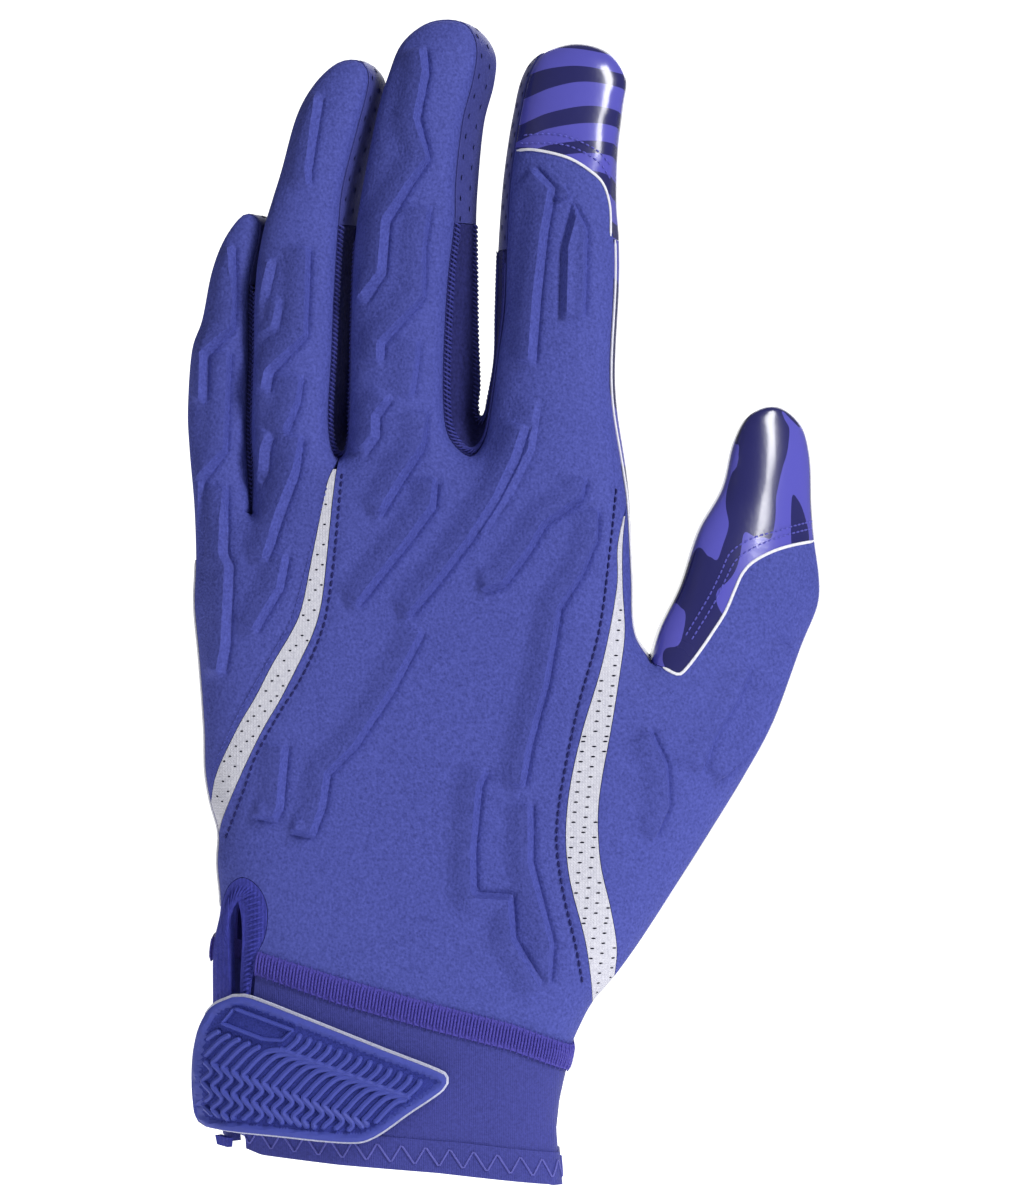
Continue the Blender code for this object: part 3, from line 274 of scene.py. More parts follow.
HEM_TOP = ((214, 1112), (260, 1118), (377, 1130), (462, 1137), (562, 1150))
HEM_LOW = ((222, 1128), (240, 1139), (264, 1148), (341, 1157), (438, 1165), (562, 1180))
TAB_OUTLINE = (
    (236, 992), (252, 993), (314, 1016), (380, 1042), (439, 1065), (447, 1071),
    (443, 1082), (410, 1105), (375, 1129), (352, 1134), (280, 1128), (210, 1121),
    (200, 1112), (197, 1095), (196, 1071), (198, 1045), (204, 1021), (216, 1002),
)
STRAP_TOP = ((214, 1024), (571, 1034))
STRAP_LOW = ((214, 1096), (571, 1106))
STRAP_END = 0.60
WEBBING_END = ((217, 1131), (231, 1133), (230, 1142), (219, 1140))
TAB_RECESS = ((238, 1003), (296, 1024), (285, 1034), (266, 1033), (226, 1018))
RIB_START = (303, 1027)
RIB_SHIFT = (9.9, 3.7)
RIB_SHAPE = (
    (0, 0), (-2, 6), (-8, 12), (-15, 17), (-24, 14), (-33, 13), (-43, 15), (-53, 23), (-62, 33), (-66, 38),
    (-57, 49), (-66, 60), (-57, 72), (-66, 83), (-57, 94), (-66, 105),
)
RIBS_LEFT = 6
RIBS_RIGHT = 18
BAND_START = 0.113
CUFF_START = 0.109
HEM_START = 0.070
HEM_END = 0.030

# Treads: share of the full rise, and the line of the foot
BACK_RELIEF = (
    (1.0, ((363, 308), (385, 275), (389, 223), (413, 185), (430, 160), (419, 120), (428, 74), (425, 45))),
    (0.8, ((383, 368), (384, 345), (425, 300), (426, 246), (432, 205))),
    (0.8, ((363, 459), (379, 438), (379, 418), (395, 397))),
    (0.9, ((380, 521), (400, 487), (425, 448), (429, 410))),
    (1.0, ((357, 610), (410, 543), (435, 509), (438, 477))),
    (1.0, ((408, 621), (438, 585), (470, 543), (497, 502), (518, 461), (530, 424))),
    (0.9, ((534, 369), (539, 302), (546, 237), (554, 190), (532, 166))),
    (0.8, ((584, 324), (587, 232), (573, 204), (562, 248), (560, 324))),
    (0.9, ((479, 594), (504, 587), (530, 552), (545, 526), (582, 500), (587, 477))),
    (1.0, ((523, 789), (531, 744), (548, 681), (560, 609), (582, 575), (597, 540), (598, 507))),
    (0.9, ((550, 985), (553, 940), (532, 860), (532, 797))),
    (0.9, ((545, 985), (515, 935), (512, 892), (476, 890), (475, 850), (481, 785), (490, 766))),
    (0.8, ((252, 815), (278, 820), (284, 807), (290, 740))),
    (0.8, ((288, 830), (315, 836), (326, 806), (331, 773), (358, 746), (395, 690), (427, 628))),
    (0.6, ((413, 402), (418, 372), (421, 338))),
    (0.4, ((482, 540), (513, 492), (533, 452), (541, 398))),
)
OUTER_RELIEF = (
    (0.9, ((207, 407), (208, 356), (235, 329), (237, 300), (234, 242))),
    (0.8, ((204, 560), (204, 482), (228, 452), (232, 349))),
    (0.8, ((225, 679), (231, 644), (234, 566), (228, 554), (229, 483))),
    (0.9, ((269, 397), (273, 374), (308, 338), (311, 245))),
    (0.8, ((287, 439), (301, 402), (305, 374))),
    (0.8, ((259, 489), (269, 471), (270, 448), (277, 432))),
    (0.9, ((268, 566), (282, 521), (299, 475), (305, 434))),
    (0.8, ((256, 636), (284, 589), (291, 552))),
    (0.8, ((312, 190), (311, 172), (317, 130), (323, 92))),
    (0.6, ((264, 327), (268, 300), (277, 258))),
    (0.5, ((254, 345), (278, 331), (285, 297))),
)
THUMB_RELIEF = (
    (0.9, ((654, 839), (669, 804), (666, 763), (648, 725))),
    (1.0, ((716, 783), (757, 745), (789, 663), (792, 640))),
    (0.6, ((700, 775), (716, 735), (738, 700), (752, 668))),
)


def on_grid(points: Sequence[float] | Rows) -> np.ndarray:
    """Turn grid steps into metres.

    Args:
        points: Steps across and down, one point or many.

    Returns:
        The points as metres across and up.
    """
    steps = np.asarray(points, dtype=float)
    across = (steps[..., 0] - GRID_ORIGIN[0]) * GLOVE_WIDTH / GRID_WIDE
    up = (GRID_ORIGIN[1] - steps[..., 1]) * GLOVE_LENGTH / GRID_LONG
    return np.stack([across, up], axis=-1)


def to_grid(flat: np.ndarray) -> tuple[np.ndarray, np.ndarray]:
    """Turn metres across and up into grid steps.

    Args:
        flat: Points across and up.

    Returns:
        The steps across and the steps down.
    """
    across = flat[..., 0] * GRID_WIDE / GLOVE_WIDTH + GRID_ORIGIN[0]
    down = GRID_ORIGIN[1] - flat[..., 1] * GRID_LONG / GLOVE_LENGTH
    return across, down


def smooth(value: np.ndarray, low: float, high: float) -> np.ndarray:
    """Rise from 0 to 1 between two values with no corner.

    Args:
        value: Where to read the rise.
        low: Value where it starts.
        high: Value where it ends.

    Returns:
        The share risen.
    """
    share = np.clip((value - low) / (high - low), 0.0, 1.0)
    return share * share * (3.0 - 2.0 * share)


def unit(vector: np.ndarray) -> np.ndarray:
    """Return a vector, or rows of vectors, at length one."""
    length = np.linalg.norm(vector, axis=-1, keepdims=True)
    return vector / np.maximum(length, 1e-12)


def spline(rows: Rows, step: float) -> tuple[np.ndarray, list[int]]:
    """Sample a smooth curve through rows whose first two columns are metres across and up.

    Args:
        rows: The rows to pass through.
        step: Spacing of the samples.

    Returns:
        The samples, and the index of the sample on each row.
    """
    rows = np.asarray(rows, dtype=float)
    padded = np.vstack([2.0 * rows[0] - rows[1], rows, 2.0 * rows[-1] - rows[-2]])
    knots = np.linalg.norm(np.diff(padded[:, :2], axis=0), axis=1)
    knots = np.concatenate([[0.0], np.cumsum(np.sqrt(np.maximum(knots, 1e-6)))])
    samples = [rows[0]]
    index = [0]
    for span in range(1, len(padded) - 2):
        first, last = padded[span], padded[span + 1]
        count = max(1, int(round(float(np.linalg.norm((last - first)[:2])) / step)))
        before = (last - padded[span - 1]) / (knots[span + 1] - knots[span - 1])
        after = (padded[span + 2] - first) / (knots[span + 2] - knots[span])
        width = knots[span + 1] - knots[span]
        for turn in range(1, count + 1):
            share = turn / count
            square, cube = share * share, share * share * share
            point = (2 * cube - 3 * square + 1) * first + (cube - 2 * square + share) * width * before
            samples.append(point + (3 * square - 2 * cube) * last + (cube - square) * width * after)
        index.append(len(samples) - 1)
    return np.array(samples), index


def outward(curve: np.ndarray) -> np.ndarray:
    """Return the unit normals of a clockwise curve, pointing away from its inside."""
    along = np.gradient(curve, axis=0)
    return unit(np.stack([-along[:, 1], along[:, 0]], axis=1))


def ring_outward(ring: np.ndarray) -> np.ndarray:
    """Return the unit normals of a closed clockwise ring, pointing out of it."""
    return outward(np.vstack([ring[-1], ring, ring[0]]))[1:-1]


def lengths(curve: np.ndarray) -> np.ndarray:
    """Return the way along a curve to each of its points."""
    return np.concatenate([[0.0], np.cumsum(np.linalg.norm(np.diff(curve, axis=0), axis=1))])


def read_rows(where: np.ndarray, places: np.ndarray, rows: np.ndarray) -> np.ndarray:
    """Read a table of rows between its places.

    Args:
        where: Places to read at.
        places: Place of each row.
        rows: The rows.

    Returns:
        A row for each place asked for.
    """
    return np.stack([np.interp(where, places, column) for column in rows.T], axis=-1)


def sewn_line(rows: Rows, step: float = SEWN_STEP) -> np.ndarray:
    """Sample a sewn, laid or raised line evenly."""
    return even_steps(spline(on_grid(rows), step)[0], step)


def hump(value: np.ndarray, place: float, half: float) -> np.ndarray:
    """Return a soft hump of height one about a place."""
    return np.exp(-((value - place) / half) ** 2)


def even_steps(curve: np.ndarray, step: float) -> np.ndarray:
    """Resample an open curve at an even spacing.

    Args:
        curve: Points of the curve.
        step: Wanted spacing.

    Returns:
        The evenly spaced points.
    """
    length = lengths(curve)
    count = max(2, int(round(length[-1] / step)) + 1)
    places = np.linspace(0.0, length[-1], count)
    return read_rows(places, length, curve)


def inside_ring(flat: np.ndarray, ring: np.ndarray) -> np.ndarray:
    """Tell which points lie inside a closed ring.

    Args:
        flat: Points to test.
        ring: Corners of the ring.

    Returns:
        True for each point inside.
    """
    odd = np.zeros(len(flat), dtype=bool)
    for head, tail in zip(ring, np.roll(ring, 1, axis=0)):
        if head[1] == tail[1]:
            continue
        between = (head[1] > flat[:, 1]) != (tail[1] > flat[:, 1])
        cross = (tail[0] - head[0]) * (flat[:, 1] - head[1]) / (tail[1] - head[1]) + head[0]
        odd ^= between & (flat[:, 0] < cross)
    return odd


def line_distance(flat: np.ndarray, line: np.ndarray) -> tuple[np.ndarray, np.ndarray, np.ndarray]:
    """Measure points against an open line.

    Args:
        flat: Points to measure.
        line: Points of the line.

    Returns:
        The distance, positive to the line's left, the place along it, and the way left to its end.
    """
    best = np.full(len(flat), np.inf)
    signed = np.zeros(len(flat))
    along = np.zeros(len(flat))
    steps = np.diff(line, axis=0)
    travelled = 0.0
    for base, edge, length in zip(line[:-1], steps, np.linalg.norm(steps, axis=1)):
        length = max(float(length), 1e-9)
        offset = flat - base
        share = np.clip((offset @ edge) / (length * length), 0.0, 1.0)
        gap = offset - share[:, None] * edge
        distance = np.sqrt((gap * gap).sum(axis=1))
        side = np.where(edge[0] * offset[:, 1] - edge[1] * offset[:, 0] >= 0.0, 1.0, -1.0)
        closer = distance < best - 1e-9
        best = np.where(closer, distance, best)
        signed = np.where(closer, side * distance, signed)
        along = np.where(closer, travelled + share * length, along)
        travelled += length
    return signed, along, travelled - along


def ring_distance(flat: np.ndarray, ring: np.ndarray) -> np.ndarray:
    """Return each point's distance to a closed ring."""
    signed, _, _ = line_distance(flat, np.vstack([ring, ring[:1]]))
    return np.abs(signed)


class Outline:
    """The back seam and the palm seam of the glove as paired samples."""

    def __init__(self, step: float) -> None:
        """Sample both seams.

        Args:
            step: Spacing of the samples.
        """
        rows = []
        for _, across, down, shift_across, shift_down, bulge in OUTLINE:
            back = on_grid((across, down))
            palm = on_grid((across + shift_across, down + shift_down))
            rows.append([*back, *palm, bulge])
        sharp = [number for number, row in enumerate(OUTLINE) if row[0] in SHARP_MARKS]
        cuts = [0, *sharp, len(OUTLINE) - 1]
        samples: list[np.ndarray] = []
        places: list[int] = []
        for first, last in zip(cuts, cuts[1:]):
            piece, index = spline(rows[first:last + 1], step)
            start = max(len(samples) - 1, 0)
            skip = 1 if samples else 0
            samples.extend(piece[skip:])
            places.extend([start + place for place in index][skip:])
        table = np.array(samples)
        self.back = table[:, 0:2]
        self.palm = table[:, 2:4]
        self.bulge = table[:, 4]
        self.marks = {row[0]: place for row, place in zip(OUTLINE, places) if row[0]}
        self.back_normal = outward(self.back)
        self.palm_normal = outward(self.palm)

    def span(self, first: str, last: str) -> list[int]:
        """Return the sample numbers from one mark to another."""
        return list(range(self.marks[first], self.marks[last] + 1))

    def at(self, mark: str) -> np.ndarray:
        """Return the back seam's point at a mark."""
        return self.back[self.marks[mark]]


class Swell:
    """Height field that blows up a closed outline, with a round edge and a level middle."""

    def __init__(self, curve: np.ndarray) -> None:
        """Solve the field.

        Args:
            curve: The open outline, closed below by a skirt under the cuff.
        """
        skirt = on_grid((0, SKIRT_DOWN))[1]
        self.ring = np.vstack([curve, [curve[-1, 0], skirt], [curve[0, 0], skirt]])
        self.low = self.ring.min(axis=0) - 3 * FIELD_CELL
        span = self.ring.max(axis=0) + 3 * FIELD_CELL - self.low
        self.chart = self.signed_chart(span)
        size = np.ceil(span / FIELD_CELL).astype(int) + 1
        flat = self.nodes(size, FIELD_CELL)
        distance = self.read(self.chart, CHART_CELL, flat).reshape(size)
        height = self.relax(distance > 0.45 * FIELD_CELL)
        known = distance > 1.1 * FIELD_CELL
        ratio = np.where(known, height / np.maximum(self.soften(distance), 1e-9), 0.0)
        self.ratio = self.spread(ratio, known)

    def nodes(self, size: np.ndarray, cell: float) -> np.ndarray:
        """Return the points of a grid over the field, row by row."""
        across = self.low[0] + cell * np.arange(size[0])
        up = self.low[1] + cell * np.arange(size[1])
        return np.stack(np.meshgrid(across, up, indexing="ij"), axis=-1).reshape(-1, 2)

    def signed_chart(self, span: np.ndarray) -> np.ndarray:
        """Chart the distance to the outline, positive inside it."""
        size = np.ceil(span / CHART_CELL).astype(int) + 2
        flat = self.nodes(size, CHART_CELL)
        signed = ring_distance(flat, self.ring) * np.where(inside_ring(flat, self.ring), 1.0, -1.0)
        return signed.reshape(size)

    def read(self, table: np.ndarray, cell: float, flat: np.ndarray) -> np.ndarray:
        """Read a table of the field between its nodes.

        Args:
            table: Values on the grid.
            cell: Spacing of the grid.
            flat: Points to read at.

        Returns:
            The value at each point.
        """
        place = (flat - self.low) / cell
        node = np.clip(np.floor(place).astype(int), 0, np.array(table.shape) - 2)
        share = np.clip(place - node, 0.0, 1.0)
        column, row = node[:, 0], node[:, 1]
        across, up = share[:, 0], share[:, 1]
        lower = table[column, row] * (1 - across) + table[column + 1, row] * across
        upper = table[column, row + 1] * (1 - across) + table[column + 1, row + 1] * across
        return lower * (1 - up) + upper * up

    def relax(self, live: np.ndarray) -> np.ndarray:
        """Solve the screened swelling equation on the live cells, zero outside them."""
        height = np.zeros(live.shape)
        cell = FIELD_CELL * FIELD_CELL
        weight = 4.0 + cell / (CROWN_REACH * CROWN_REACH)
        checker = np.indices(live.shape).sum(axis=0) % 2
        colours = [live & (checker == colour) for colour in (0, 1)]
        around = np.zeros(live.shape)
        for _ in range(FIELD_SWEEPS):
            for colour in colours:
                around[1:-1, 1:-1] = (
                    height[2:, 1:-1] + height[:-2, 1:-1] + height[1:-1, 2:] + height[1:-1, :-2]
                )
                target = (around + cell) / weight
                height[colour] += 1.88 * (target[colour] - height[colour])
        return height

    @staticmethod
    def spread(ratio: np.ndarray, known: np.ndarray) -> np.ndarray:
        """Carry the known values outwards over the unknown cells."""
        ratio, known = ratio.copy(), known.copy()
        for _ in range(6):
            total = np.zeros(ratio.shape)
            count = np.zeros(ratio.shape)
            for axis in (0, 1):
                for shift in (-1, 1):
                    total += np.roll(np.where(known, ratio, 0.0), shift, axis=axis)
                    count += np.roll(known, shift, axis=axis)
            fresh = ~known & (count > 0)
            ratio[fresh] = total[fresh] / count[fresh]
            known |= fresh
        return ratio

    @staticmethod
    def soften(distance: np.ndarray) -> np.ndarray:
        """Level a distance off beyond the round edge."""
        reach = 0.5 * CROWN_REACH
        return reach * (1.0 - np.exp(-np.maximum(distance, 0.0) / reach))

    def height(self, flat: np.ndarray) -> np.ndarray:
        """Return half the square of the swell at points."""
        distance = self.read(self.chart, CHART_CELL, flat)
        return self.read(self.ratio, FIELD_CELL, flat) * self.soften(distance)

    def slope(self, flat: np.ndarray) -> tuple[np.ndarray, np.ndarray, np.ndarray]:
        """Return the swelling and its slopes across and up."""
        nudge = 0.4 * CHART_CELL
        across = self.height(flat + (nudge, 0.0)) - self.height(flat - (nudge, 0.0))
        up = self.height(flat + (0.0, nudge)) - self.height(flat - (0.0, nudge))
        return self.height(flat), across / (2 * nudge), up / (2 * nudge)


def middle_depth(flat: np.ndarray) -> np.ndarray:
    """Return how far towards the palm the middle of the body lies."""
    across, down = to_grid(flat)
    curl = FINGER_CURL * (np.clip(480 - down, 0, None) / 460) ** 2
    divider = np.interp(down, (200, 230, 282, 514), (272, 262, 252, 250.5))
    little = smooth(divider - across, -2.0, 2.0) * smooth(514 - down, 0, 150)
    thumb = (np.clip(across - 600, 0, None) / 200) ** 1.6 * smooth(down, 330, 420)
    return curl + LITTLE_SET_BACK * little + THUMB_SET_BACK * thumb


def side_depth(flat: np.ndarray) -> np.ndarray:
    """Return the depth of the side walls, finger to hand to wrist."""
    _, down = to_grid(flat)
    depth = FINGER_SIDE_DEPTH + (HAND_SIDE_DEPTH - FINGER_SIDE_DEPTH) * smooth(down, 430, 640)
    return depth + (WRIST_SIDE_DEPTH - HAND_SIDE_DEPTH) * smooth(down, 820, 1000)


def edge_across(up: np.ndarray, left: bool) -> np.ndarray:
    """Return where the wrist's outer or thumb-side edge lies at a height."""
    marks = [row for row in OUTLINE if row[2] >= 860]
    side = [row for row in marks if (row[1] < GRID_ORIGIN[0]) == left]
    line = on_grid([(row[1], row[2]) for row in side])
    order = np.argsort(line[:, 1])
    return np.interp(up, line[order, 1], line[order, 0])


def line_up(line: Rows, across: np.ndarray) -> np.ndarray:
    """Return the height of a line round the wrist at a place across."""
    points = on_grid(line)
    return np.interp(across, points[:, 0], points[:, 1])


class Face:
    """One of the two broad surfaces of the body, the back (-1) or the palm (+1)."""

    def __init__(self, curve: np.ndarray, towards: float, crown: float) -> None:
        """Blow up one face.

        Args:
            curve: Outline of the face.
            towards: Direction along Y, -1 for the back and +1 for the palm.
            crown: Share of the swell that the face keeps.
        """
        self.swell = Swell(curve)
        self.towards = towards
        self.crown = crown

    def seam_depth(self, flat: np.ndarray) -> np.ndarray:
        """Return the depth of the seam that bounds this face."""
        return middle_depth(flat) + self.towards * 0.5 * side_depth(flat)

    def crown_at(self, flat: np.ndarray) -> np.ndarray:
        """Return the share of the swell kept at points, fuller at the wrist."""
        _, down = to_grid(flat)
        return self.crown + (WRIST_CROWN - self.crown) * smooth(down, 820, 1020)

    def place(
        self, flat: np.ndarray, lift: float = 0.0, rise: np.ndarray | float = 0.0
    ) -> tuple[np.ndarray, np.ndarray]:
        """Put flat points on the face.

        Args:
            flat: Points across and up.
            lift: How far a layer at the wrist stands off the body.
            rise: Height added square to the face.

        Returns:
            The points and the outward normals.
        """
        inner, shrink = self.pull_in(flat, lift)
        value, across, up = self.swell.slope(inner)
        crown = self.crown_at(inner)
        bulk = crown * np.sqrt(2.0 * np.maximum(value, 0.0))
        nudge = 0.0005
        aside, above = np.array((nudge, 0.0)), np.array((0.0, nudge))
        base = self.seam_depth(inner)
        base_across = (self.seam_depth(inner + aside) - self.seam_depth(inner - aside)) / (2 * nudge)
        base_up = (self.seam_depth(inner + above) - self.seam_depth(inner - above)) / (2 * nudge)
        square = crown * crown
        normal = unit(np.stack([
            (-square * across - self.towards * bulk * base_across) * shrink,
            self.towards * np.maximum(bulk, 1e-7),
            -square * up - self.towards * bulk * base_up,
        ], axis=1))
        point = np.stack([flat[:, 0], base + self.towards * (bulk + lift), flat[:, 1]], axis=1)
        return point + normal * np.reshape(rise, (-1, 1)), normal

    @staticmethod
    def pull_in(flat: np.ndarray, lift: float) -> tuple[np.ndarray, np.ndarray | float]:
        """Map points of a lifted layer at the wrist to the body under them."""
        if lift == 0.0:
            return flat, 1.0
        left, right = edge_across(flat[:, 1], True), edge_across(flat[:, 1], False)
        half, middle = 0.5 * (right - left), 0.5 * (right + left)
        shrink = half / (half + lift)
        inner = flat.copy()
        inner[:, 0] = middle + np.clip((flat[:, 0] - middle) * shrink, -0.999 * half, 0.999 * half)
        return inner, shrink


def quads(start: int, rows: int, columns: int, closed: bool = True) -> list[tuple[int, ...]]:
    """Join rows of points by quads.

    Args:
        start: Number of the first point.
        rows: How many rows there are.
        columns: Points in a row.
        closed: Whether the last column joins the first.

    Returns:
        The quads as point numbers.
    """
    faces: list[tuple[int, ...]] = []
    for near in range(start, start + (rows - 1) * columns, columns):
        far = near + columns
        for column in range(columns if closed else columns - 1):
            right = (column + 1) % columns
            faces.append((near + column, near + right, far + right, far + column))
    return faces


class Skin:
    """Collects the outer skin of a piece and closes it into a thin solid."""

    def __init__(self) -> None:
        """Start with nothing."""
        self.points: list[np.ndarray] = []
        self.normals: list[np.ndarray] = []
        self.faces: list[tuple[int, ...]] = []

    def add(self, point: np.ndarray, normal: np.ndarray) -> int:
        """Add one skin point and return its number."""
        self.points.append(point)
        self.normals.append(normal)
        return len(self.points) - 1

    def add_grid(self, points: np.ndarray, normals: np.ndarray) -> None:
        """Add a grid of points joined by quads.

        Args:
            points: Points by row and column.
            normals: Their outward normals.
        """
        self.faces.extend(quads(len(self.points), *points.shape[:2], False))
        self.points.extend(points.reshape(-1, 3))
        self.normals.extend(normals.reshape(-1, 3))

    def add_patch(
        self, points: np.ndarray, normals: np.ndarray, flat: np.ndarray, faces: np.ndarray, on_back: bool
    ) -> None:
        """Add a filled patch of one face, its triangles turned outwards.

        Args:
            points: Points of the patch.
            normals: Their outward normals.
            flat: The same points across and up.
            faces: Triangles as point numbers.
            on_back: Whether the patch lies on the back.
        """
        forward = (turn_of(flat[faces]) > 0.0) == on_back
        faces = np.where(forward[:, None], faces, faces[:, ::-1]) + len(self.points)
        self.faces.extend(tuple(face) for face in faces.tolist())
        self.points.extend(points)
        self.normals.extend(normals)

    def solid(self, name: str, thick: float) -> bpy.types.Object:
        """Close the skin into an object whose wall lies inside it.

        Args:
            name: Name of the object.
            thick: Thickness of the wall.

        Returns:
            The object.
        """
        outer = np.array(self.points)
        inner = outer - np.array(self.normals) * thick
        count = len(outer)
        faces = [tuple(int(number) for number in face) for face in self.faces]
        edges: set[tuple[int, int]] = set()
        for face in faces:
            edges.update(zip(face, face[1:] + face[:1]))
        closed = list(faces)
        closed.extend(tuple(number + count for number in reversed(face)) for face in faces)
        for first, second in edges:
            if (second, first) not in edges:
                closed.append((second, first, first + count, second + count))
        return mesh_object(name, np.vstack([outer, inner]), closed)


def mesh_object(
    name: str, points: np.ndarray, faces: list[tuple[int, ...]], turn: float = 40.0
) -> bpy.types.Object:
    """Make a smooth-shaded mesh object.

    Args:
        name: Name of the object.
        points: Vertices.
        faces: Faces as vertex numbers.
        turn: Angle in degrees above which an edge stays sharp.

    Returns:
        The linked object.
    """
    data = bpy.data.meshes.new(name)
    data.from_pydata(np.asarray(points).tolist(), [], faces)
    data.validate()
    data.shade_smooth()
    data.set_sharp_from_angle(angle=math.radians(turn))
    item = bpy.data.objects.new(name, data)
    bpy.context.scene.collection.objects.link(item)
    return item


def turn_of(corners: np.ndarray) -> np.ndarray:
    """Return twice the signed areas of triangles, positive where they run anticlockwise."""
    first, second = corners[:, 1] - corners[:, 0], corners[:, 2] - corners[:, 0]
    return first[:, 0] * second[:, 1] - first[:, 1] * second[:, 0]


def thin_out(points: np.ndarray, least: float) -> np.ndarray:
    """Leave out each point that lies nearer than a distance to one kept before it.

    Args:
        points: Points, those that matter most first.
        least: Least distance between two points that stay.

    Returns:
        The points that stay.
    """
    cells: dict[tuple[int, int], list[np.ndarray]] = {}
    kept = []
    for point in points:
        column, row = int(point[0] // least), int(point[1] // least)
        around = [(column + i, row + j) for i in (-1, 0, 1) for j in (-1, 0, 1)]
        near = [other for cell in around for other in cells.get(cell, [])]
        if all(math.dist(point, other) > least for other in near):
            cells.setdefault((column, row), []).append(point)
            kept.append(point)
    return np.array(kept).reshape(-1, 2)


def fill_ring(
    ring: np.ndarray, step: float, creases: list[np.ndarray] | None = None
) -> tuple[np.ndarray, np.ndarray, list[list[int]]]:
    """Fill a ring with even triangles.

    Args:
        ring: Clockwise ring of points.
        step: Spacing of the lattice inside it.
        creases: Lines beside which the surface steps up, and the mesh needs rows of its own.

    Returns:
        The points, the triangles, and for each point the ring points that it came from.
    """
    low, high = ring.min(axis=0), ring.max(axis=0)
    height = step * math.sqrt(3.0) / 2.0
    rows = []
    for number in range(int((high[1] - low[1]) / height) + 2):
        across = np.arange(low[0] + 0.5 * step * (number % 2), high[0], step)
        rows.append(np.stack([across, np.full(len(across), low[1] + number * height)], axis=1))
    lattice = np.vstack(rows)
    lattice = lattice[inside_ring(lattice, ring)]
    lattice = lattice[ring_distance(lattice, ring) > RIM_ROWS[-1] + 0.45 * step]
    normals = ring_outward(ring)
    rims = []
    for depth in RIM_ROWS:
        rim = ring - depth * normals
        rim = rim[inside_ring(rim, ring)]
        rims.append(rim[ring_distance(rim, ring) > 0.85 * depth])
    rows = []
    for crease in creases or []:
        signed, _, _ = line_distance(lattice, crease)
        line = even_steps(crease, 0.8 * step)
        foot, crest = 1.15 * PAD_ROWS[0] * PAD_SHOULDER, 1.15 * PAD_ROWS[-1] * PAD_SHOULDER
        lattice = lattice[(signed < foot) | (signed > crest)]
        for level in PAD_ROWS:
            row = line + level * PAD_SHOULDER * outward(line)
            row = row[inside_ring(row, ring)]
            rows.append(row[ring_distance(row, ring) > RIM_ROWS[-1] + 0.4 * step])
    if rows:
        rows = [thin_out(np.vstack(rows), 0.5 * step)]
    points = np.vstack([ring, *rims, *rows, lattice])
    vectors = [Vector((float(x), float(y))) for x, y in points]
    result = delaunay_2d_cdt(vectors, [], [list(range(len(ring)))], 1, 1e-7, True)
    flat = np.array([(vertex[0], vertex[1]) for vertex in result[0]])
    faces = np.array([list(face) for face in result[2]])
    faces = faces[inside_ring(flat[faces].mean(axis=1), ring)]
    return flat, faces, [[number for number in source if number < len(ring)] for source in result[3]]


@dataclass
class Ring:
    """A ring of outline and seam samples that bounds a patch of one face."""

    outline: Outline
    face: Face
    points: list[np.ndarray] = field(default_factory=list)
    fixed: list[tuple[int, np.ndarray] | None] = field(default_factory=list)

    def along(self, first: str, last: str) -> "Ring":
        """Follow the outline between two marks, drawn in by half a gap at both ends."""
        on_back = self.face.towards < 0
        curve = self.outline.back if on_back else self.outline.palm
        normals = self.outline.back_normal if on_back else self.outline.palm_normal
        numbers = self.outline.span(first, last)
        for number in numbers:
            point = curve[number].copy()
            if number == numbers[0]:
                point += 0.5 * SEAM_GAP * unit(curve[number + 1] - point)
            if number == numbers[-1]:
                point += 0.5 * SEAM_GAP * unit(curve[number - 1] - point)
            self.points.append(point)
            self.fixed.append((number, normals[number]))
        return self

    def across(self, points: np.ndarray) -> "Ring":
        """Follow a seam, set off to the inside by half a gap, without its ends."""
        for point in (points - 0.5 * SEAM_GAP * outward(points))[1:-1]:
            self.points.append(point)
            self.fixed.append(None)
        return self

    def fill(
        self, skin: Skin, step: float, rise: Callable[[np.ndarray], np.ndarray] | None = None,
        creases: list[np.ndarray] | None = None,
    ) -> dict[int, int]:
        """Add the filled ring to a skin.

        Args:
            skin: Where the points and faces go.
            step: Spacing of the triangles.
            rise: Gives the height added at flat points.
            creases: Lines beside which the surface steps up.

        Returns:
            The skin's point number for each outline sample on the ring.
        """
        ring = np.array(self.points)
        flat, faces, sources = fill_ring(ring, step, creases)
        edge = smooth(ring_distance(flat, ring), 0.0, 0.0025)
        points, normals = self.face.place(flat, 0.0, 0.0 if rise is None else rise(flat) * edge)
        start = len(skin.points)
        numbers: dict[int, int] = {}
        for place, source in enumerate(sources):
            fixed = self.fixed[source[0]] if source else None
            if fixed is not None:
                normals[place] = (fixed[1][0], 0.0, fixed[1][1])
                points[place, 1] = self.face.seam_depth(flat[place:place + 1])[0]
                numbers[fixed[0]] = start + place
        skin.add_patch(points, normals, flat, faces, self.face.towards < 0)
        return numbers


class Join(Enum):
    """Which face a side wall is one piece with."""

    NONE = 0
    BACK = 1
    PALM = 2


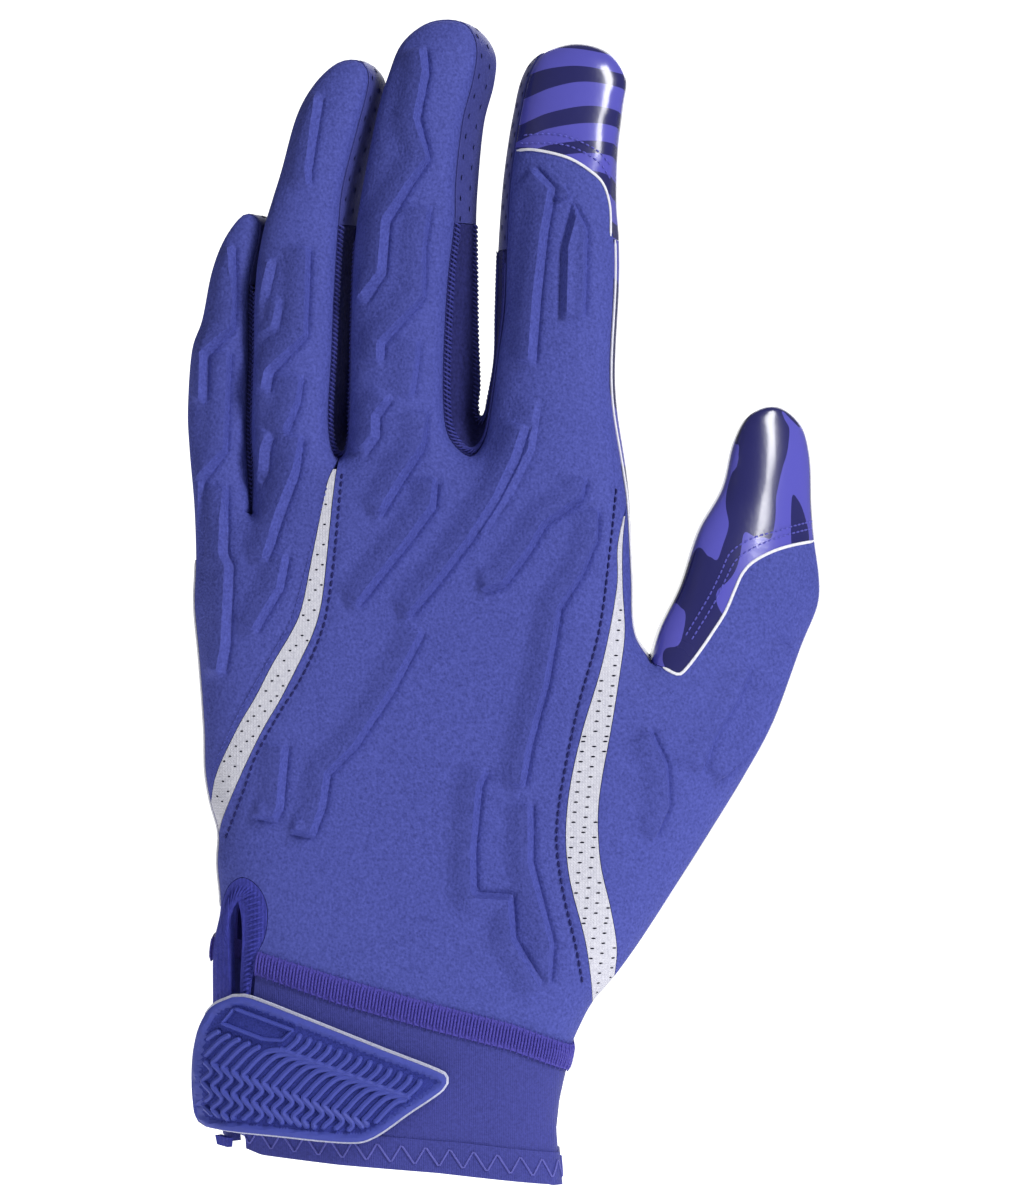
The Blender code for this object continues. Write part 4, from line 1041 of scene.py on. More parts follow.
@dataclass
class Body:
    """The common body that every skin of the glove lies on."""

    outline: Outline
    back: Face
    palm: Face

    def wall_point(
        self, number: int, place: float, nudge: np.ndarray | None = None, lift: float = 0.0
    ) -> tuple[np.ndarray, np.ndarray]:
        """Return a point of the side wall.

        Args:
            number: Outline sample.
            place: Share of the way from the back seam to the palm seam.
            nudge: Shift across and up along the outline.
            lift: Height above the wall.

        Returns:
            The point and its outward normal.
        """
        outline = self.outline
        start, end = outline.back[number], outline.palm[number]
        if nudge is not None:
            start, end = start + nudge, end + nudge
        front = self.back.seam_depth(start[None])[0]
        rear = self.palm.seam_depth(end[None])[0]
        normal = unit(outline.back_normal[number] * (1 - place) + outline.palm_normal[number] * place)
        bulge = 4.0 * place * (1.0 - place) * SIDE_BULGE * outline.bulge[number]
        flat = start + (end - start) * place + (bulge + lift) * normal
        point = np.array([flat[0], front + (rear - front) * place, flat[1]])
        return point, np.array([normal[0], 0.0, normal[1]])

    def wall_line(self, first: str, last: str, place: float, lift: float) -> tuple[np.ndarray, np.ndarray]:
        """Return points and normals along the side wall at a share of its depth."""
        numbers = self.outline.span(first, last)
        points, normals = zip(*(self.wall_point(number, place, None, lift) for number in numbers))
        return np.array(points), np.array(normals)

    def wall(
        self, skin: Skin, first: str, last: str, rows: int, join: Join = Join.NONE,
        joined: dict[int, int] | None = None,
    ) -> None:
        """Add the side wall between two marks to a skin.

        Args:
            skin: Where the points and faces go.
            first: Mark where the wall starts.
            last: Mark where it ends.
            rows: Rows of quads from seam to seam.
            join: Face that the wall is one piece with.
            joined: That face's point numbers on the outline.
        """
        numbers = self.outline.span(first, last)
        grid: list[list[int]] = []
        for row in range(rows + 1):
            line = []
            for number in numbers:
                nudge = None
                if number in (numbers[0], numbers[-1]):
                    other = numbers[1] if number == numbers[0] else numbers[-2]
                    nudge = 0.5 * SEAM_GAP * unit(self.outline.back[other] - self.outline.back[number])
                low = 0.0 if join is Join.BACK else SEAM_GAP / FINGER_SIDE_DEPTH
                high = 1.0 if join is Join.PALM else 1.0 - SEAM_GAP / FINGER_SIDE_DEPTH
                shared = (join is Join.BACK and row == 0) or (join is Join.PALM and row == rows)
                if shared and joined is not None and number in joined:
                    line.append(joined[number])
                else:
                    line.append(skin.add(*self.wall_point(number, low + (high - low) * row / rows, nudge)))
            grid.append(line)
        for upper, lower in zip(grid, grid[1:]):
            skin.faces.extend(zip(upper, upper[1:], lower[1:], lower))

    def wrist_point(
        self, side: str, spot: float, top: Rows, low: Rows, share: float, lift: float
    ) -> tuple[np.ndarray, np.ndarray]:
        """Return a point and normal on the wrist.

        Args:
            side: back, palm, thumb wall or outer wall.
            spot: Share of the way across that side.
            top: Upper line round the wrist.
            low: Lower line.
            share: Share of the way from the upper line to the lower.
            lift: Height above the body.

        Returns:
            The point and its outward normal.
        """
        guess = {"thumb wall": 1.0, "outer wall": 0.0}.get(side, spot)
        up, across = 0.0, 0.0
        for _ in range(4):
            left, right = edge_across(up, True) - lift, edge_across(up, False) + lift
            across = left + (right - left) * guess
            high = line_up(top, across) + LAP
            up = high + (line_up(low, across) - LAP - high) * share
        flat = np.array([[across, up]])
        if side in ("back", "palm") and 0.0 < guess < 1.0:
            points, normals = (self.back if side == "back" else self.palm).place(flat, lift)
            return points[0], normals[0]
        inner, _ = Face.pull_in(flat, lift if lift else 1e-9)
        front = self.back.seam_depth(inner)[0] - lift
        rear = self.palm.seam_depth(inner)[0] + lift
        depth = {
            "back": front, "palm": rear,
            "thumb wall": front + (rear - front) * spot, "outer wall": rear + (front - rear) * spot,
        }[side]
        return np.array([across, depth, up]), np.array([1.0 if guess > 0.5 else -1.0, 0.0, 0.0])

    def wrist_grid(
        self, spots: list[tuple[str, float]], top: Rows, low: Rows, lift: float, rows: int
    ) -> tuple[np.ndarray, np.ndarray]:
        """Return a grid of points and normals round the wrist between two lines."""
        points, normals = [], []
        for row in range(rows + 1):
            pairs = [self.wrist_point(side, spot, top, low, row / rows, lift) for side, spot in spots]
            points.append([pair[0] for pair in pairs])
            normals.append([pair[1] for pair in pairs])
        return np.array(points), np.array(normals)


def cosine_run(first: float, last: float, count: int) -> list[float]:
    """Return places that crowd together towards a wrist edge at 0 or 1."""
    low, high = math.acos(1.0 - 2.0 * first), math.acos(1.0 - 2.0 * last)
    return [0.5 * (1.0 - math.cos(turn)) for turn in np.linspace(low, high, count + 1)]


def round_wrist(start: float, end: float, lift: float, count: int) -> list[tuple[str, float]]:
    """Return places round the wrist, from a share of the back round to its outer edge."""
    wall = [(number + 1) / (count // 4 + 1) for number in range(count // 4)]
    spots = [("back", share) for share in cosine_run(start, 1.0, count)]
    spots += [("thumb wall", share) for share in wall]
    spots += [("palm", share) for share in cosine_run(1.0, 0.0, count)]
    spots += [("outer wall", share) for share in wall]
    if end > 0.0:
        return spots + [("back", share) for share in cosine_run(0.0, end, max(3, count // 8))]
    return spots + [("outer wall", 1.0 - (lift + SEAM_GAP) / (WRIST_SIDE_DEPTH + 2.0 * lift))]


class Pattern(Enum):
    """The small-scale structure of a finish."""

    KNIT = "knit"
    MESH = "mesh"
    LEATHER = "leather"
    RIBBED = "ribbed"
    FELT = "felt"
    THREAD = "thread"
    CAMO = "camo"
    BANDS = "bands"
    RUBBER = "rubber"


@dataclass(frozen=True)
class Finish:
    """A procedural material: a colour that varies, a structure, a gloss and a nap."""

    name: str
    slot: str
    colour: tuple[float, float, float]
    shade: tuple[float, float, float]
    pattern: Pattern
    rough: float
    grain: float
    depth: float
    nap: float = 0.0
    coat: float = 0.0
    stretch: tuple[float, float, float] = (60.0, 60.0, 60.0)

    def build(self) -> bpy.types.Material:
        """Make the material.

        Returns:
            The material, or the one already made under this name.
        """
        title = f"{self.name}_finish"
        made = bpy.data.materials.get(title)
        if made:
            return made
        made = bpy.data.materials.new(title)
        made.use_nodes = True
        tree = made.node_tree
        shader = tree.nodes["Principled BSDF"]
        shader.inputs["Roughness"].default_value = self.rough
        shader.inputs["Sheen Weight"].default_value = self.nap
        shader.inputs["Sheen Roughness"].default_value = 0.6
        shader.inputs["Sheen Tint"].default_value = (*self.colour, 1.0)
        shader.inputs["Specular IOR Level"].default_value = 0.45 if self.coat else 0.16
        shader.inputs["Coat Weight"].default_value = self.coat
        shader.inputs["Coat Roughness"].default_value = 0.12
        place = tree.nodes.new("ShaderNodeTexCoord").outputs["Object"]
        height = self.structure(tree, place)
        drift = self.noise(tree, place, 38.0, 3.0)
        speckle = self.noise(tree, place, 0.9 / self.grain, 2.0)
        # Outside the camouflage, the tone mixes random drift and specks with the structure's height. The low
        # parts of the weave, grain or ribs are painted darker: painted shade in the hollows, on top of the
        # material's own uneven tone.
        blotch = self.maths(tree, "MULTIPLY_ADD", drift, 0.22, -0.58)
        flecks = self.maths(tree, "MULTIPLY_ADD", speckle, 1.5, blotch)
        share = self.maths(tree, "MULTIPLY_ADD", height, 0.30, flecks)
        if self.pattern in (Pattern.CAMO, Pattern.BANDS):
            tree.links.new(self.camouflage(tree, place), shader.inputs["Base Color"])
        else:
            mix = tree.nodes.new("ShaderNodeMix")
            mix.data_type = "RGBA"
            mix.inputs["A"].default_value = (*self.shade, 1.0)
            mix.inputs["B"].default_value = (*self.colour, 1.0)
            tree.links.new(share, mix.inputs["Factor"])
            tree.links.new(mix.outputs["Result"], shader.inputs["Base Color"])
        bump = tree.nodes.new("ShaderNodeBump")
        bump.inputs["Strength"].default_value = 0.8
        bump.inputs["Distance"].default_value = self.depth
        tree.links.new(height, bump.inputs["Height"])
        tree.links.new(bump.outputs["Normal"], shader.inputs["Normal"])
        worn = self.maths(tree, "MULTIPLY_ADD", self.noise(tree, place, 90.0, 2.0), 0.16, self.rough - 0.08)
        tree.links.new(worn, shader.inputs["Roughness"])
        return made

    @staticmethod
    def noise(tree: bpy.types.NodeTree, place: Socket, scale: float, detail: float) -> Socket:
        """Return the factor of a noise texture."""
        node = tree.nodes.new("ShaderNodeTexNoise")
        node.inputs["Scale"].default_value = scale
        node.inputs["Detail"].default_value = detail
        tree.links.new(place, node.inputs["Vector"])
        return node.outputs["Fac"]

    @staticmethod
    def maths(tree: bpy.types.NodeTree, operation: str, *values: "Socket | float") -> Socket:
        """Return a maths node whose inputs are sockets or constants, in order."""
        node = tree.nodes.new("ShaderNodeMath")
        node.operation = operation
        for place, value in enumerate(values):
            if isinstance(value, Socket):
                tree.links.new(value, node.inputs[place])
            else:
                node.inputs[place].default_value = value
        return node.outputs[0]

    @staticmethod
    def waves(tree: bpy.types.NodeTree, place: Socket, direction: str, pitch: float, warp: float) -> Socket:
        """Return straight bands of a pitch in metres, warped a little."""
        node = tree.nodes.new("ShaderNodeTexWave")
        node.bands_direction = direction
        node.inputs["Scale"].default_value = math.tau / (20.0 * pitch)
        node.inputs["Distortion"].default_value = warp
        node.inputs["Detail"].default_value = 1.0
        tree.links.new(place, node.inputs["Vector"])
        return node.outputs["Fac"]

    @staticmethod
    def cells(tree: bpy.types.NodeTree, place: Socket, pitch: float) -> Socket:
        """Return the distance field of scattered cells of a size in metres."""
        node = tree.nodes.new("ShaderNodeTexVoronoi")
        node.inputs["Scale"].default_value = 1.0 / pitch
        tree.links.new(place, node.inputs["Vector"])
        return node.outputs["Distance"]

    def structure(self, tree: bpy.types.NodeTree, place: Socket) -> Socket:
        """Return the height of the weave, grain or ribs."""
        if self.pattern is Pattern.KNIT:
            loops = self.cells(tree, place, self.grain)
            fuzz = self.noise(tree, place, 0.6 / self.grain, 4.0)
            return self.maths(tree, "ADD", loops, fuzz)
        if self.pattern is Pattern.MESH:
            warp = self.waves(tree, place, "X", self.grain, 1.0)
            weft = self.waves(tree, place, "Z", self.grain, 1.0)
            return self.maths(tree, "MULTIPLY", warp, weft)
        if self.pattern is Pattern.RIBBED:
            ribs = self.waves(tree, place, "X", self.grain, 0.6)
            loops = self.cells(tree, place, 0.5 * self.grain)
            return self.maths(tree, "MULTIPLY_ADD", ribs, 0.8, loops)
        if self.pattern is Pattern.LEATHER:
            return self.cells(tree, place, self.grain)
        if self.pattern is Pattern.THREAD:
            return self.waves(tree, place, "DIAGONAL", self.grain, 2.0)
        return self.noise(tree, place, 1.0 / self.grain, 5.0)

    def camouflage(self, tree: bpy.types.NodeTree, place: Socket) -> Socket:
        """Return the colour of a plain two-tone camouflage of long warped patches or bands."""
        stretch = tree.nodes.new("ShaderNodeMapping")
        stretch.inputs["Rotation"].default_value = (0.0, 0.30, 0.0)
        stretch.inputs["Scale"].default_value = self.stretch
        if self.pattern is Pattern.BANDS:
            patches = tree.nodes.new("ShaderNodeTexWave")
            patches.bands_direction = "Z"
            patches.inputs["Scale"].default_value = math.tau / (20.0 * BAND_PITCH)
            patches.inputs["Distortion"].default_value = 3.2
            patches.inputs["Detail"].default_value = 0.0
            patches.inputs["Detail Scale"].default_value = 1.4
            patches.inputs["Phase Offset"].default_value = BAND_PHASE
            tree.links.new(place, patches.inputs["Vector"])
        else:
            tree.links.new(place, stretch.inputs["Vector"])
            patches = tree.nodes.new("ShaderNodeTexNoise")
            patches.inputs["Scale"].default_value = 1.0
            patches.inputs["Detail"].default_value = 0.6
            patches.inputs["Distortion"].default_value = 0.5
            tree.links.new(stretch.outputs["Vector"], patches.inputs["Vector"])
        ramp = tree.nodes.new("ShaderNodeValToRGB")
        ramp.color_ramp.interpolation = "CONSTANT"
        first, last = ramp.color_ramp.elements
        first.position = 0.0
        first.color = (*self.colour, 1.0)
        last.position = 0.60 if self.pattern is Pattern.BANDS else 0.51
        last.color = (*self.shade, 1.0)
        tree.links.new(patches.outputs["Fac"], ramp.inputs["Fac"])
        return ramp.outputs["Color"]


BLUE = (0.073, 0.088, 0.365)
BLUE_SHADE = (0.030, 0.037, 0.190)
CAMO_BLUE = (0.080, 0.076, 0.410)
CAMO_NAVY = (0.014, 0.014, 0.100)
PADDED = Finish("padded_knit", "padded_knit", BLUE, BLUE_SHADE, Pattern.KNIT, 0.72, 0.00055, 0.00012, 0.08)
MESH = Finish(
    "white_flex_mesh", "flex_mesh", (0.60, 0.60, 0.66), (0.44, 0.44, 0.51), Pattern.MESH, 0.8, 0.0006,
    0.00008, 0.05
)
CAMO = Finish(
    "glossy_camouflage_grip", "grip", CAMO_BLUE, CAMO_NAVY, Pattern.CAMO, 0.24, 0.0011, 0.00003, 0.0, 0.5,
    (130.0, 130.0, 45.0)
)
CAP_CAMO = Finish(
    "glossy_banded_camouflage", "grip", CAMO_BLUE, CAMO_NAVY, Pattern.BANDS, 0.24, 0.0011, 0.00003, 0.0, 0.5
)
LEATHER = Finish(
    "perforated_leather", "side_leather", (0.056, 0.063, 0.252), (0.038, 0.043, 0.184), Pattern.LEATHER, 0.50,
    0.0006, 0.00004
)
GUSSET = Finish(
    "dark_gusset_knit", "gusset_knit", (0.024, 0.026, 0.140), (0.007, 0.008, 0.055), Pattern.KNIT, 0.85,
    0.0007, 0.00016, 0.05
)
OVERLOCK = Finish(
    "overlock_thread", "overlock_thread", (0.080, 0.068, 0.380), (0.042, 0.036, 0.240), Pattern.THREAD, 0.55,
    0.0004, 0.00005, 0.08
)
JERSEY = Finish(
    "smooth_jersey", "jersey", (0.050, 0.056, 0.270), (0.027, 0.030, 0.165), Pattern.RIBBED, 0.6, 0.00045,
    0.00006, 0.06
)
TAPE = Finish(
    "ribbed_tape", "ribbed_tape", (0.048, 0.054, 0.34), (0.026, 0.030, 0.21), Pattern.RIBBED, 0.7, 0.0008,
    0.00012, 0.06
)
RUBBER = Finish(
    "moulded_rubber", "tab_rubber", (0.054, 0.070, 0.337), (0.046, 0.059, 0.286), Pattern.RUBBER, 0.5, 0.0010,
    0.00003
)
FELT = Finish(
    "tab_ground_felt", "tab_rubber", (0.046, 0.060, 0.33), (0.018, 0.024, 0.16), Pattern.FELT, 0.9, 0.0003,
    0.00018, 0.1
)
HOOK = Finish(
    "white_hook_backing", "hook_backing", (0.74, 0.75, 0.84), (0.50, 0.51, 0.68), Pattern.FELT, 0.9, 0.0004,
    0.00020, 0.1
)
RAW_EDGE = Finish(
    "white_raw_edge", "grip", (0.78, 0.78, 0.82), (0.58, 0.58, 0.66), Pattern.FELT, 0.8, 0.0005, 0.00010, 0.05
)
NAVY_THREAD = Finish(
    "navy_thread", "padded_knit", (0.018, 0.020, 0.14), (0.009, 0.010, 0.07), Pattern.THREAD, 0.5, 0.0002,
    0.00003
)
GUSSET_THREAD = Finish(
    "gusset_overlock_thread", "gusset_knit", (0.058, 0.064, 0.33), (0.026, 0.030, 0.17), Pattern.THREAD, 0.6,
    0.0002, 0.00004
)
BLUE_THREAD = Finish(
    "blue_thread", "side_leather", (0.12, 0.12, 0.50), (0.07, 0.07, 0.38), Pattern.THREAD, 0.45, 0.0002,
    0.00003
)
LILAC_THREAD = Finish(
    "lilac_thread", "jersey", (0.120, 0.122, 0.430), (0.075, 0.078, 0.310), Pattern.THREAD, 0.5, 0.0003,
    0.00004
)
# Near-black discs laid over the perforations: painted shade inside the holes.
HOLE = Finish(
    "hole_shadow", "side_leather", (0.006, 0.006, 0.020), (0.003, 0.003, 0.012), Pattern.FELT, 0.95, 0.0003,
    0.00002
)


def dress(item: bpy.types.Object, finish: Finish, *nodes: str) -> bpy.types.Object:
    """Give a piece its finish, let it ride the body and hide the solids that it takes the place of.

    Args:
        item: The piece.
        finish: Its material.
        nodes: Solids that it takes the place of.

    Returns:
        The piece.
    """
    item.data.materials.append(finish.build())
    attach(item, ROOT)
    if nodes:
        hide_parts(*nodes)
    LOG.info("piece %s: %d faces", item.name, len(item.data.polygons))
    return item


def detail(item: bpy.types.Object, finish: Finish, owner: bpy.types.Object) -> bpy.types.Object:
    """Give a small detail its finish and hang it on the piece that carries it."""
    item.data.materials.append(finish.build())
    item.parent = owner
    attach(item, ROOT)
    LOG.info("detail %s on %s: %d faces", item.name, owner.name, len(item.data.polygons))
    return item


def frames(points: np.ndarray, normals: np.ndarray) -> tuple[np.ndarray, np.ndarray]:
    """Return the directions along a line and across it, square to its normals."""
    along = unit(np.gradient(points, axis=0))
    return along, unit(np.cross(along, normals))


def tube(
    name: str, points: np.ndarray, normals: np.ndarray, half_width: float, half_height: float, sides: int = 8
) -> bpy.types.Object:
    """Sweep a flattened tube along a line on a surface.

    Args:
        name: Name of the object.
        points: The line.
        normals: Surface normals along it.
        half_width: Half the tube's width.
        half_height: Half its height.
        sides: Sides of its section.

    Returns:
        The object, with closed ends.
    """
    _, across = frames(points, normals)
    turns = np.linspace(0.0, math.tau, sides, endpoint=False)
    taper = np.ones(len(points))
    taper[0] = taper[-1] = 0.45
    ring = (
        np.cos(turns)[None, :, None] * half_width * across[:, None, :]
        + np.sin(turns)[None, :, None] * half_height * normals[:, None, :]
    )
    verts = (points[:, None, :] + ring * taper[:, None, None]).reshape(-1, 3)
    faces = quads(0, len(points), sides)
    faces.append(tuple(reversed(range(sides))))
    faces.append(tuple(range((len(points) - 1) * sides, len(points) * sides)))
    return mesh_object(name, verts, faces)


@dataclass(frozen=True)
class Stitch:
    """The sizes of one run of stitches."""

    pitch: float
    length: float
    radius: float
    sides: int = 6
    stations: int = 5

    def run(self, name: str, points: np.ndarray, normals: np.ndarray) -> bpy.types.Object:
        """Sew along a line: short bent capsules that dip into the surface at both ends."""
        length = lengths(points)
        count = max(1, int(length[-1] / self.pitch))
        starts = (np.arange(count) + 0.5) * length[-1] / count - 0.5 * self.length
        share = np.linspace(0.0, 1.0, self.stations)
        where = starts[:, None] + share[None, :] * self.length
        line = read_rows(where, length, points)
        square = unit(read_rows(where, length, normals))
        return self.capsules(name, line, square)

    def bars(self, name: str, starts: np.ndarray, ends: np.ndarray, normals: np.ndarray) -> bpy.types.Object:
        """Sew straight bars from one row of points to another."""
        share = np.linspace(0.0, 1.0, self.stations)[None, :, None]
        line = starts[:, None, :] + (ends - starts)[:, None, :] * share
        return self.capsules(name, line, np.repeat(normals[:, None, :], self.stations, axis=1))

    def capsules(self, name: str, line: np.ndarray, square: np.ndarray) -> bpy.types.Object:
        """Build one capsule for each row of stations."""
        share = np.linspace(0.0, 1.0, self.stations)
        thick = np.sqrt(np.clip(1.0 - np.abs(2.0 * share - 1.0) ** 4, 0.12, 1.0))
        dip = self.radius * (0.6 - 1.1 * np.abs(2.0 * share - 1.0) ** 3)
        along = unit(line[:, -1] - line[:, 0])[:, None, :]
        across = unit(np.cross(along, square))
        turns = np.linspace(0.0, math.tau, self.sides, endpoint=False)
        ring = (
            np.cos(turns)[None, None, :, None] * across[:, :, None, :]
            + np.sin(turns)[None, None, :, None] * square[:, :, None, :]
        )
        centre = line + dip[None, :, None] * square
        verts = centre[:, :, None, :] + self.radius * thick[None, :, None, None] * ring
        faces: list[tuple[int, ...]] = []
        block = self.stations * self.sides
        for base in range(0, len(line) * block, block):
            faces.extend(quads(base, self.stations, self.sides))
            faces.append(tuple(reversed(range(base, base + self.sides))))
            faces.append(tuple(range(base + block - self.sides, base + block)))
        return mesh_object(name, verts.reshape(-1, 3), faces, NEVER_SHARP)


def discs(
    name: str, points: np.ndarray, normals: np.ndarray, wide: float, high: float, lift: float = 0.00005
) -> bpy.types.Object:
    """Set small dished holes on a surface.

    Args:
        name: Name of the object.
        points: Their centres.
        normals: Surface normals there.
        wide: Width across.
        high: Height up the glove.
        lift: How far the rim stands off the surface.

    Returns:
        The object.
    """
    sides = 10
    across = unit(np.cross(normals, np.array([0.0, 0.0, 1.0])))
    up = unit(np.cross(across, normals))
    turns = np.linspace(0.0, math.tau, sides, endpoint=False)
    rim = 0.5 * (
        wide * np.cos(turns)[None, :, None] * across[:, None, :]
        + high * np.sin(turns)[None, :, None] * up[:, None, :]
    )
    rims = points[:, None, :] + lift * normals[:, None, :] + rim
    middle = (points + 0.3 * lift * normals)[:, None, :]
    verts = np.concatenate([rims, middle], axis=1)
    faces = []
    for number in range(len(points)):
        base = number * (sides + 1)
        faces.extend((base + side, base + (side + 1) % sides, base + sides) for side in range(sides))
    return mesh_object(name, verts.reshape(-1, 3), faces, NEVER_SHARP)


MAIN_STITCH = Stitch(0.00175, 0.00145, 0.00026)
FINE_STITCH = Stitch(0.00125, 0.00100, 0.00018)
EDGE_STITCH = Stitch(0.00095, 0.00150, 0.00030)
OVERLOCK_BAR = Stitch(0.00070, 0.00300, 0.00030, 6, 6)
TAPE_RIB = Stitch(0.0014, 0.003, 0.00034, 6, 5)

MAIN_STITCH_LINES = (
    (
        (343, 473), (338, 532), (334, 573), (327, 618), (317, 648), (301, 681), (282, 711), (258, 754),
        (245, 790), (226, 838),
    ),
    (
        (616, 488), (610, 545), (599, 628), (578, 704), (563, 775), (556, 833), (562, 886), (575, 942),
        (582, 980),
    ),
)
OUTER_STITCH_LINES = (
    ((328, 487), (321, 515), (306, 575), (294, 617), (276, 650), (250, 695), (232, 729), (213, 770)),
)
CAP_STITCH_LINES = (
    ((523, 136), (545, 135), (567, 138), (597, 152), (610, 166)),
    ((519, 144), (556, 145), (578, 151), (599, 164), (610, 180)),
)
CAP_WHITE_EDGE = ((517, 151), (534, 151), (567, 159), (588, 171), (602, 184), (609, 206), (610, 237))
THUMB_WHITE_EDGE = (
    (814, 541), (793, 545), (773, 551), (752, 562), (741, 574), (734, 589), (724, 612), (712, 631),
    (699, 650), (685, 668), (677, 674), (662, 667),
)
THUMB_STITCH_LINES = (
    ((813, 528), (793, 533), (773, 539), (752, 548), (735, 560), (725, 578), (714, 601), (690, 640)),
    ((813, 521), (793, 526), (773, 532), (752, 538), (730, 552), (720, 572), (708, 596), (684, 636)),
)
PERFORATION_PITCH = (11.0, 10.0)
HOLE_ROWS = range(46, 102)
HOLE_COLUMNS = range(14, 62)


@dataclass
class Seams:
    """The seam lines that part the back of the glove."""

    body: Body

    def __post_init__(self) -> None:
        """Sample every seam between its two marks on the outline."""
        at = self.body.outline.at
        self.outer_left = self.line(at("crotch_ring"), INSERT_OUTER_LEFT, at("insert_high"))
        self.outer_right = self.line(at("crotch_ring"), INSERT_OUTER_RIGHT, at("insert_low"))
        self.inner_left = self.line(at("insert_apex"), INSERT_INNER_LEFT, at("insert_end_left"))
        self.inner_right = self.line(at("insert_apex"), INSERT_INNER_RIGHT, at("insert_end_right"))
        self.cap = self.line(at("cap_left"), CAP_EDGE, at("cap_right"))
        self.grip = self.line(at("web"), GRIP_EDGE, at("grip_high"))
        self.vent = self.line(on_grid(BAND_TOP[1]), VENT_EDGE, at("vent_top"))

    @staticmethod
    def line(start: np.ndarray, rows: Rows, end: np.ndarray) -> np.ndarray:
        """Sample one seam."""
        return spline(np.vstack([start, on_grid(rows), end]), EDGE_STEP)[0]

    @staticmethod
    def wrist(line: Rows, first: float, last: float) -> np.ndarray:
        """Sample a line round the wrist between two places across."""
        count = max(2, int(abs(last - first) / EDGE_STEP) + 1)
        across = np.linspace(first, last, count)
        return np.stack([across, line_up(line, across)], axis=1)


@dataclass
class PaddedBack:
    """The three padded panels on the back with their raised treads and seam stitches."""

    body: Body
    seams: Seams
    step: float = 0.00070
    thick: float = 0.0016
    groove: float = 0.00030
    groove_half: float = 0.0008

    def rise(self, relief: Relief, stitches: Sequence[Rows]) -> Callable[[np.ndarray], np.ndarray]:
        """Return the height of a panel: raised treads, and a groove along each row of stitches."""

        def height(flat: np.ndarray) -> np.ndarray:
            """Return the height at flat points."""
            raised, sunk = np.zeros(len(flat)), np.zeros(len(flat))
            for share, rows in relief:
                signed, along, ahead = line_distance(flat, on_grid(rows))
                taper = share * smooth(np.minimum(along, ahead), 0.0, PAD_TAPER * PAD_FADE)
                step = smooth(signed, 0.0, PAD_SHOULDER)
                fade = 1.0 - smooth(signed, PAD_SHOULDER, PAD_SHOULDER + PAD_FADE)
                foot = FOOT_DEPTH * hump(signed / PAD_SHOULDER, FOOT_PLACE, FOOT_HALF)
                bead = BEAD_RISE * hump(signed / PAD_SHOULDER, BEAD_PLACE, BEAD_HALF)
                raised = np.maximum(raised, taper * (step * fade + bead))
                sunk = np.maximum(sunk, taper * foot)
            total = PAD_RISE * (raised - sunk)
            for rows in stitches:
                signed, _, _ = line_distance(flat, spline(on_grid(rows), EDGE_STEP)[0])
                total -= self.groove * hump(signed, 0.0, self.groove_half)
            return total

        return height

    @staticmethod
    def creases(relief: Relief) -> list[np.ndarray]:
        """Return the foot lines of the raised treads."""
        return [on_grid(rows) for _, rows in relief]

    def sew(
        self, owner: bpy.types.Object, name: str, lines: Sequence[Rows], stitch: Stitch, finish: Finish
    ) -> None:
        """Sew rows of stitches on the back face."""
        for number, rows in enumerate(lines):
            flat = sewn_line(rows)
            points, normals = self.body.back.place(flat, 0.0, -0.5 * self.groove)
            detail(stitch.run(f"{name}_{number + 1}", points, normals), finish, owner)

    def build(self) -> None:
        """Build the three panels."""
        body, seams = self.body, self.seams
        band = seams.wrist(BAND_TOP, body.outline.at("band_top_right")[0], seams.vent[0, 0])
        skin = Skin()
        ring = Ring(body.outline, body.back).along("crotch_ring", "cap_left").across(seams.cap)
        ring.along("cap_right", "insert_apex").across(seams.inner_left)
        ring.along("insert_end_left", "band_top_right")
        ring.across(np.vstack([band, seams.vent[1:]])).along("vent_top", "insert_low")
        ring.across(seams.outer_right[::-1])
        ring.fill(skin, self.step, self.rise(BACK_RELIEF, MAIN_STITCH_LINES), self.creases(BACK_RELIEF))
        main = dress(skin.solid("padded_back_panel", self.thick), PADDED, "back_panel")
        self.sew(main, "back_panel_stitches", MAIN_STITCH_LINES, MAIN_STITCH, NAVY_THREAD)

        skin = Skin()
        ring = Ring(body.outline, body.back).along("insert_high", "crotch_ring").across(seams.outer_left)
        ring.fill(skin, self.step, self.rise(OUTER_RELIEF, OUTER_STITCH_LINES), self.creases(OUTER_RELIEF))
        outer = dress(skin.solid("padded_outer_panel", self.thick), PADDED, "outer_back_panel")
        self.sew(outer, "outer_panel_stitches", OUTER_STITCH_LINES, FINE_STITCH, PADDED)

        skin = Skin()
        ring = Ring(body.outline, body.back).along("insert_apex", "web").across(seams.grip)
        ring.along("grip_high", "insert_end_right").across(seams.inner_right[::-1])
        ring.fill(skin, self.step, self.rise(THUMB_RELIEF, ()), self.creases(THUMB_RELIEF))
        thumb = dress(skin.solid("padded_thumb_panel", self.thick), PADDED, "thumb_back_panel")


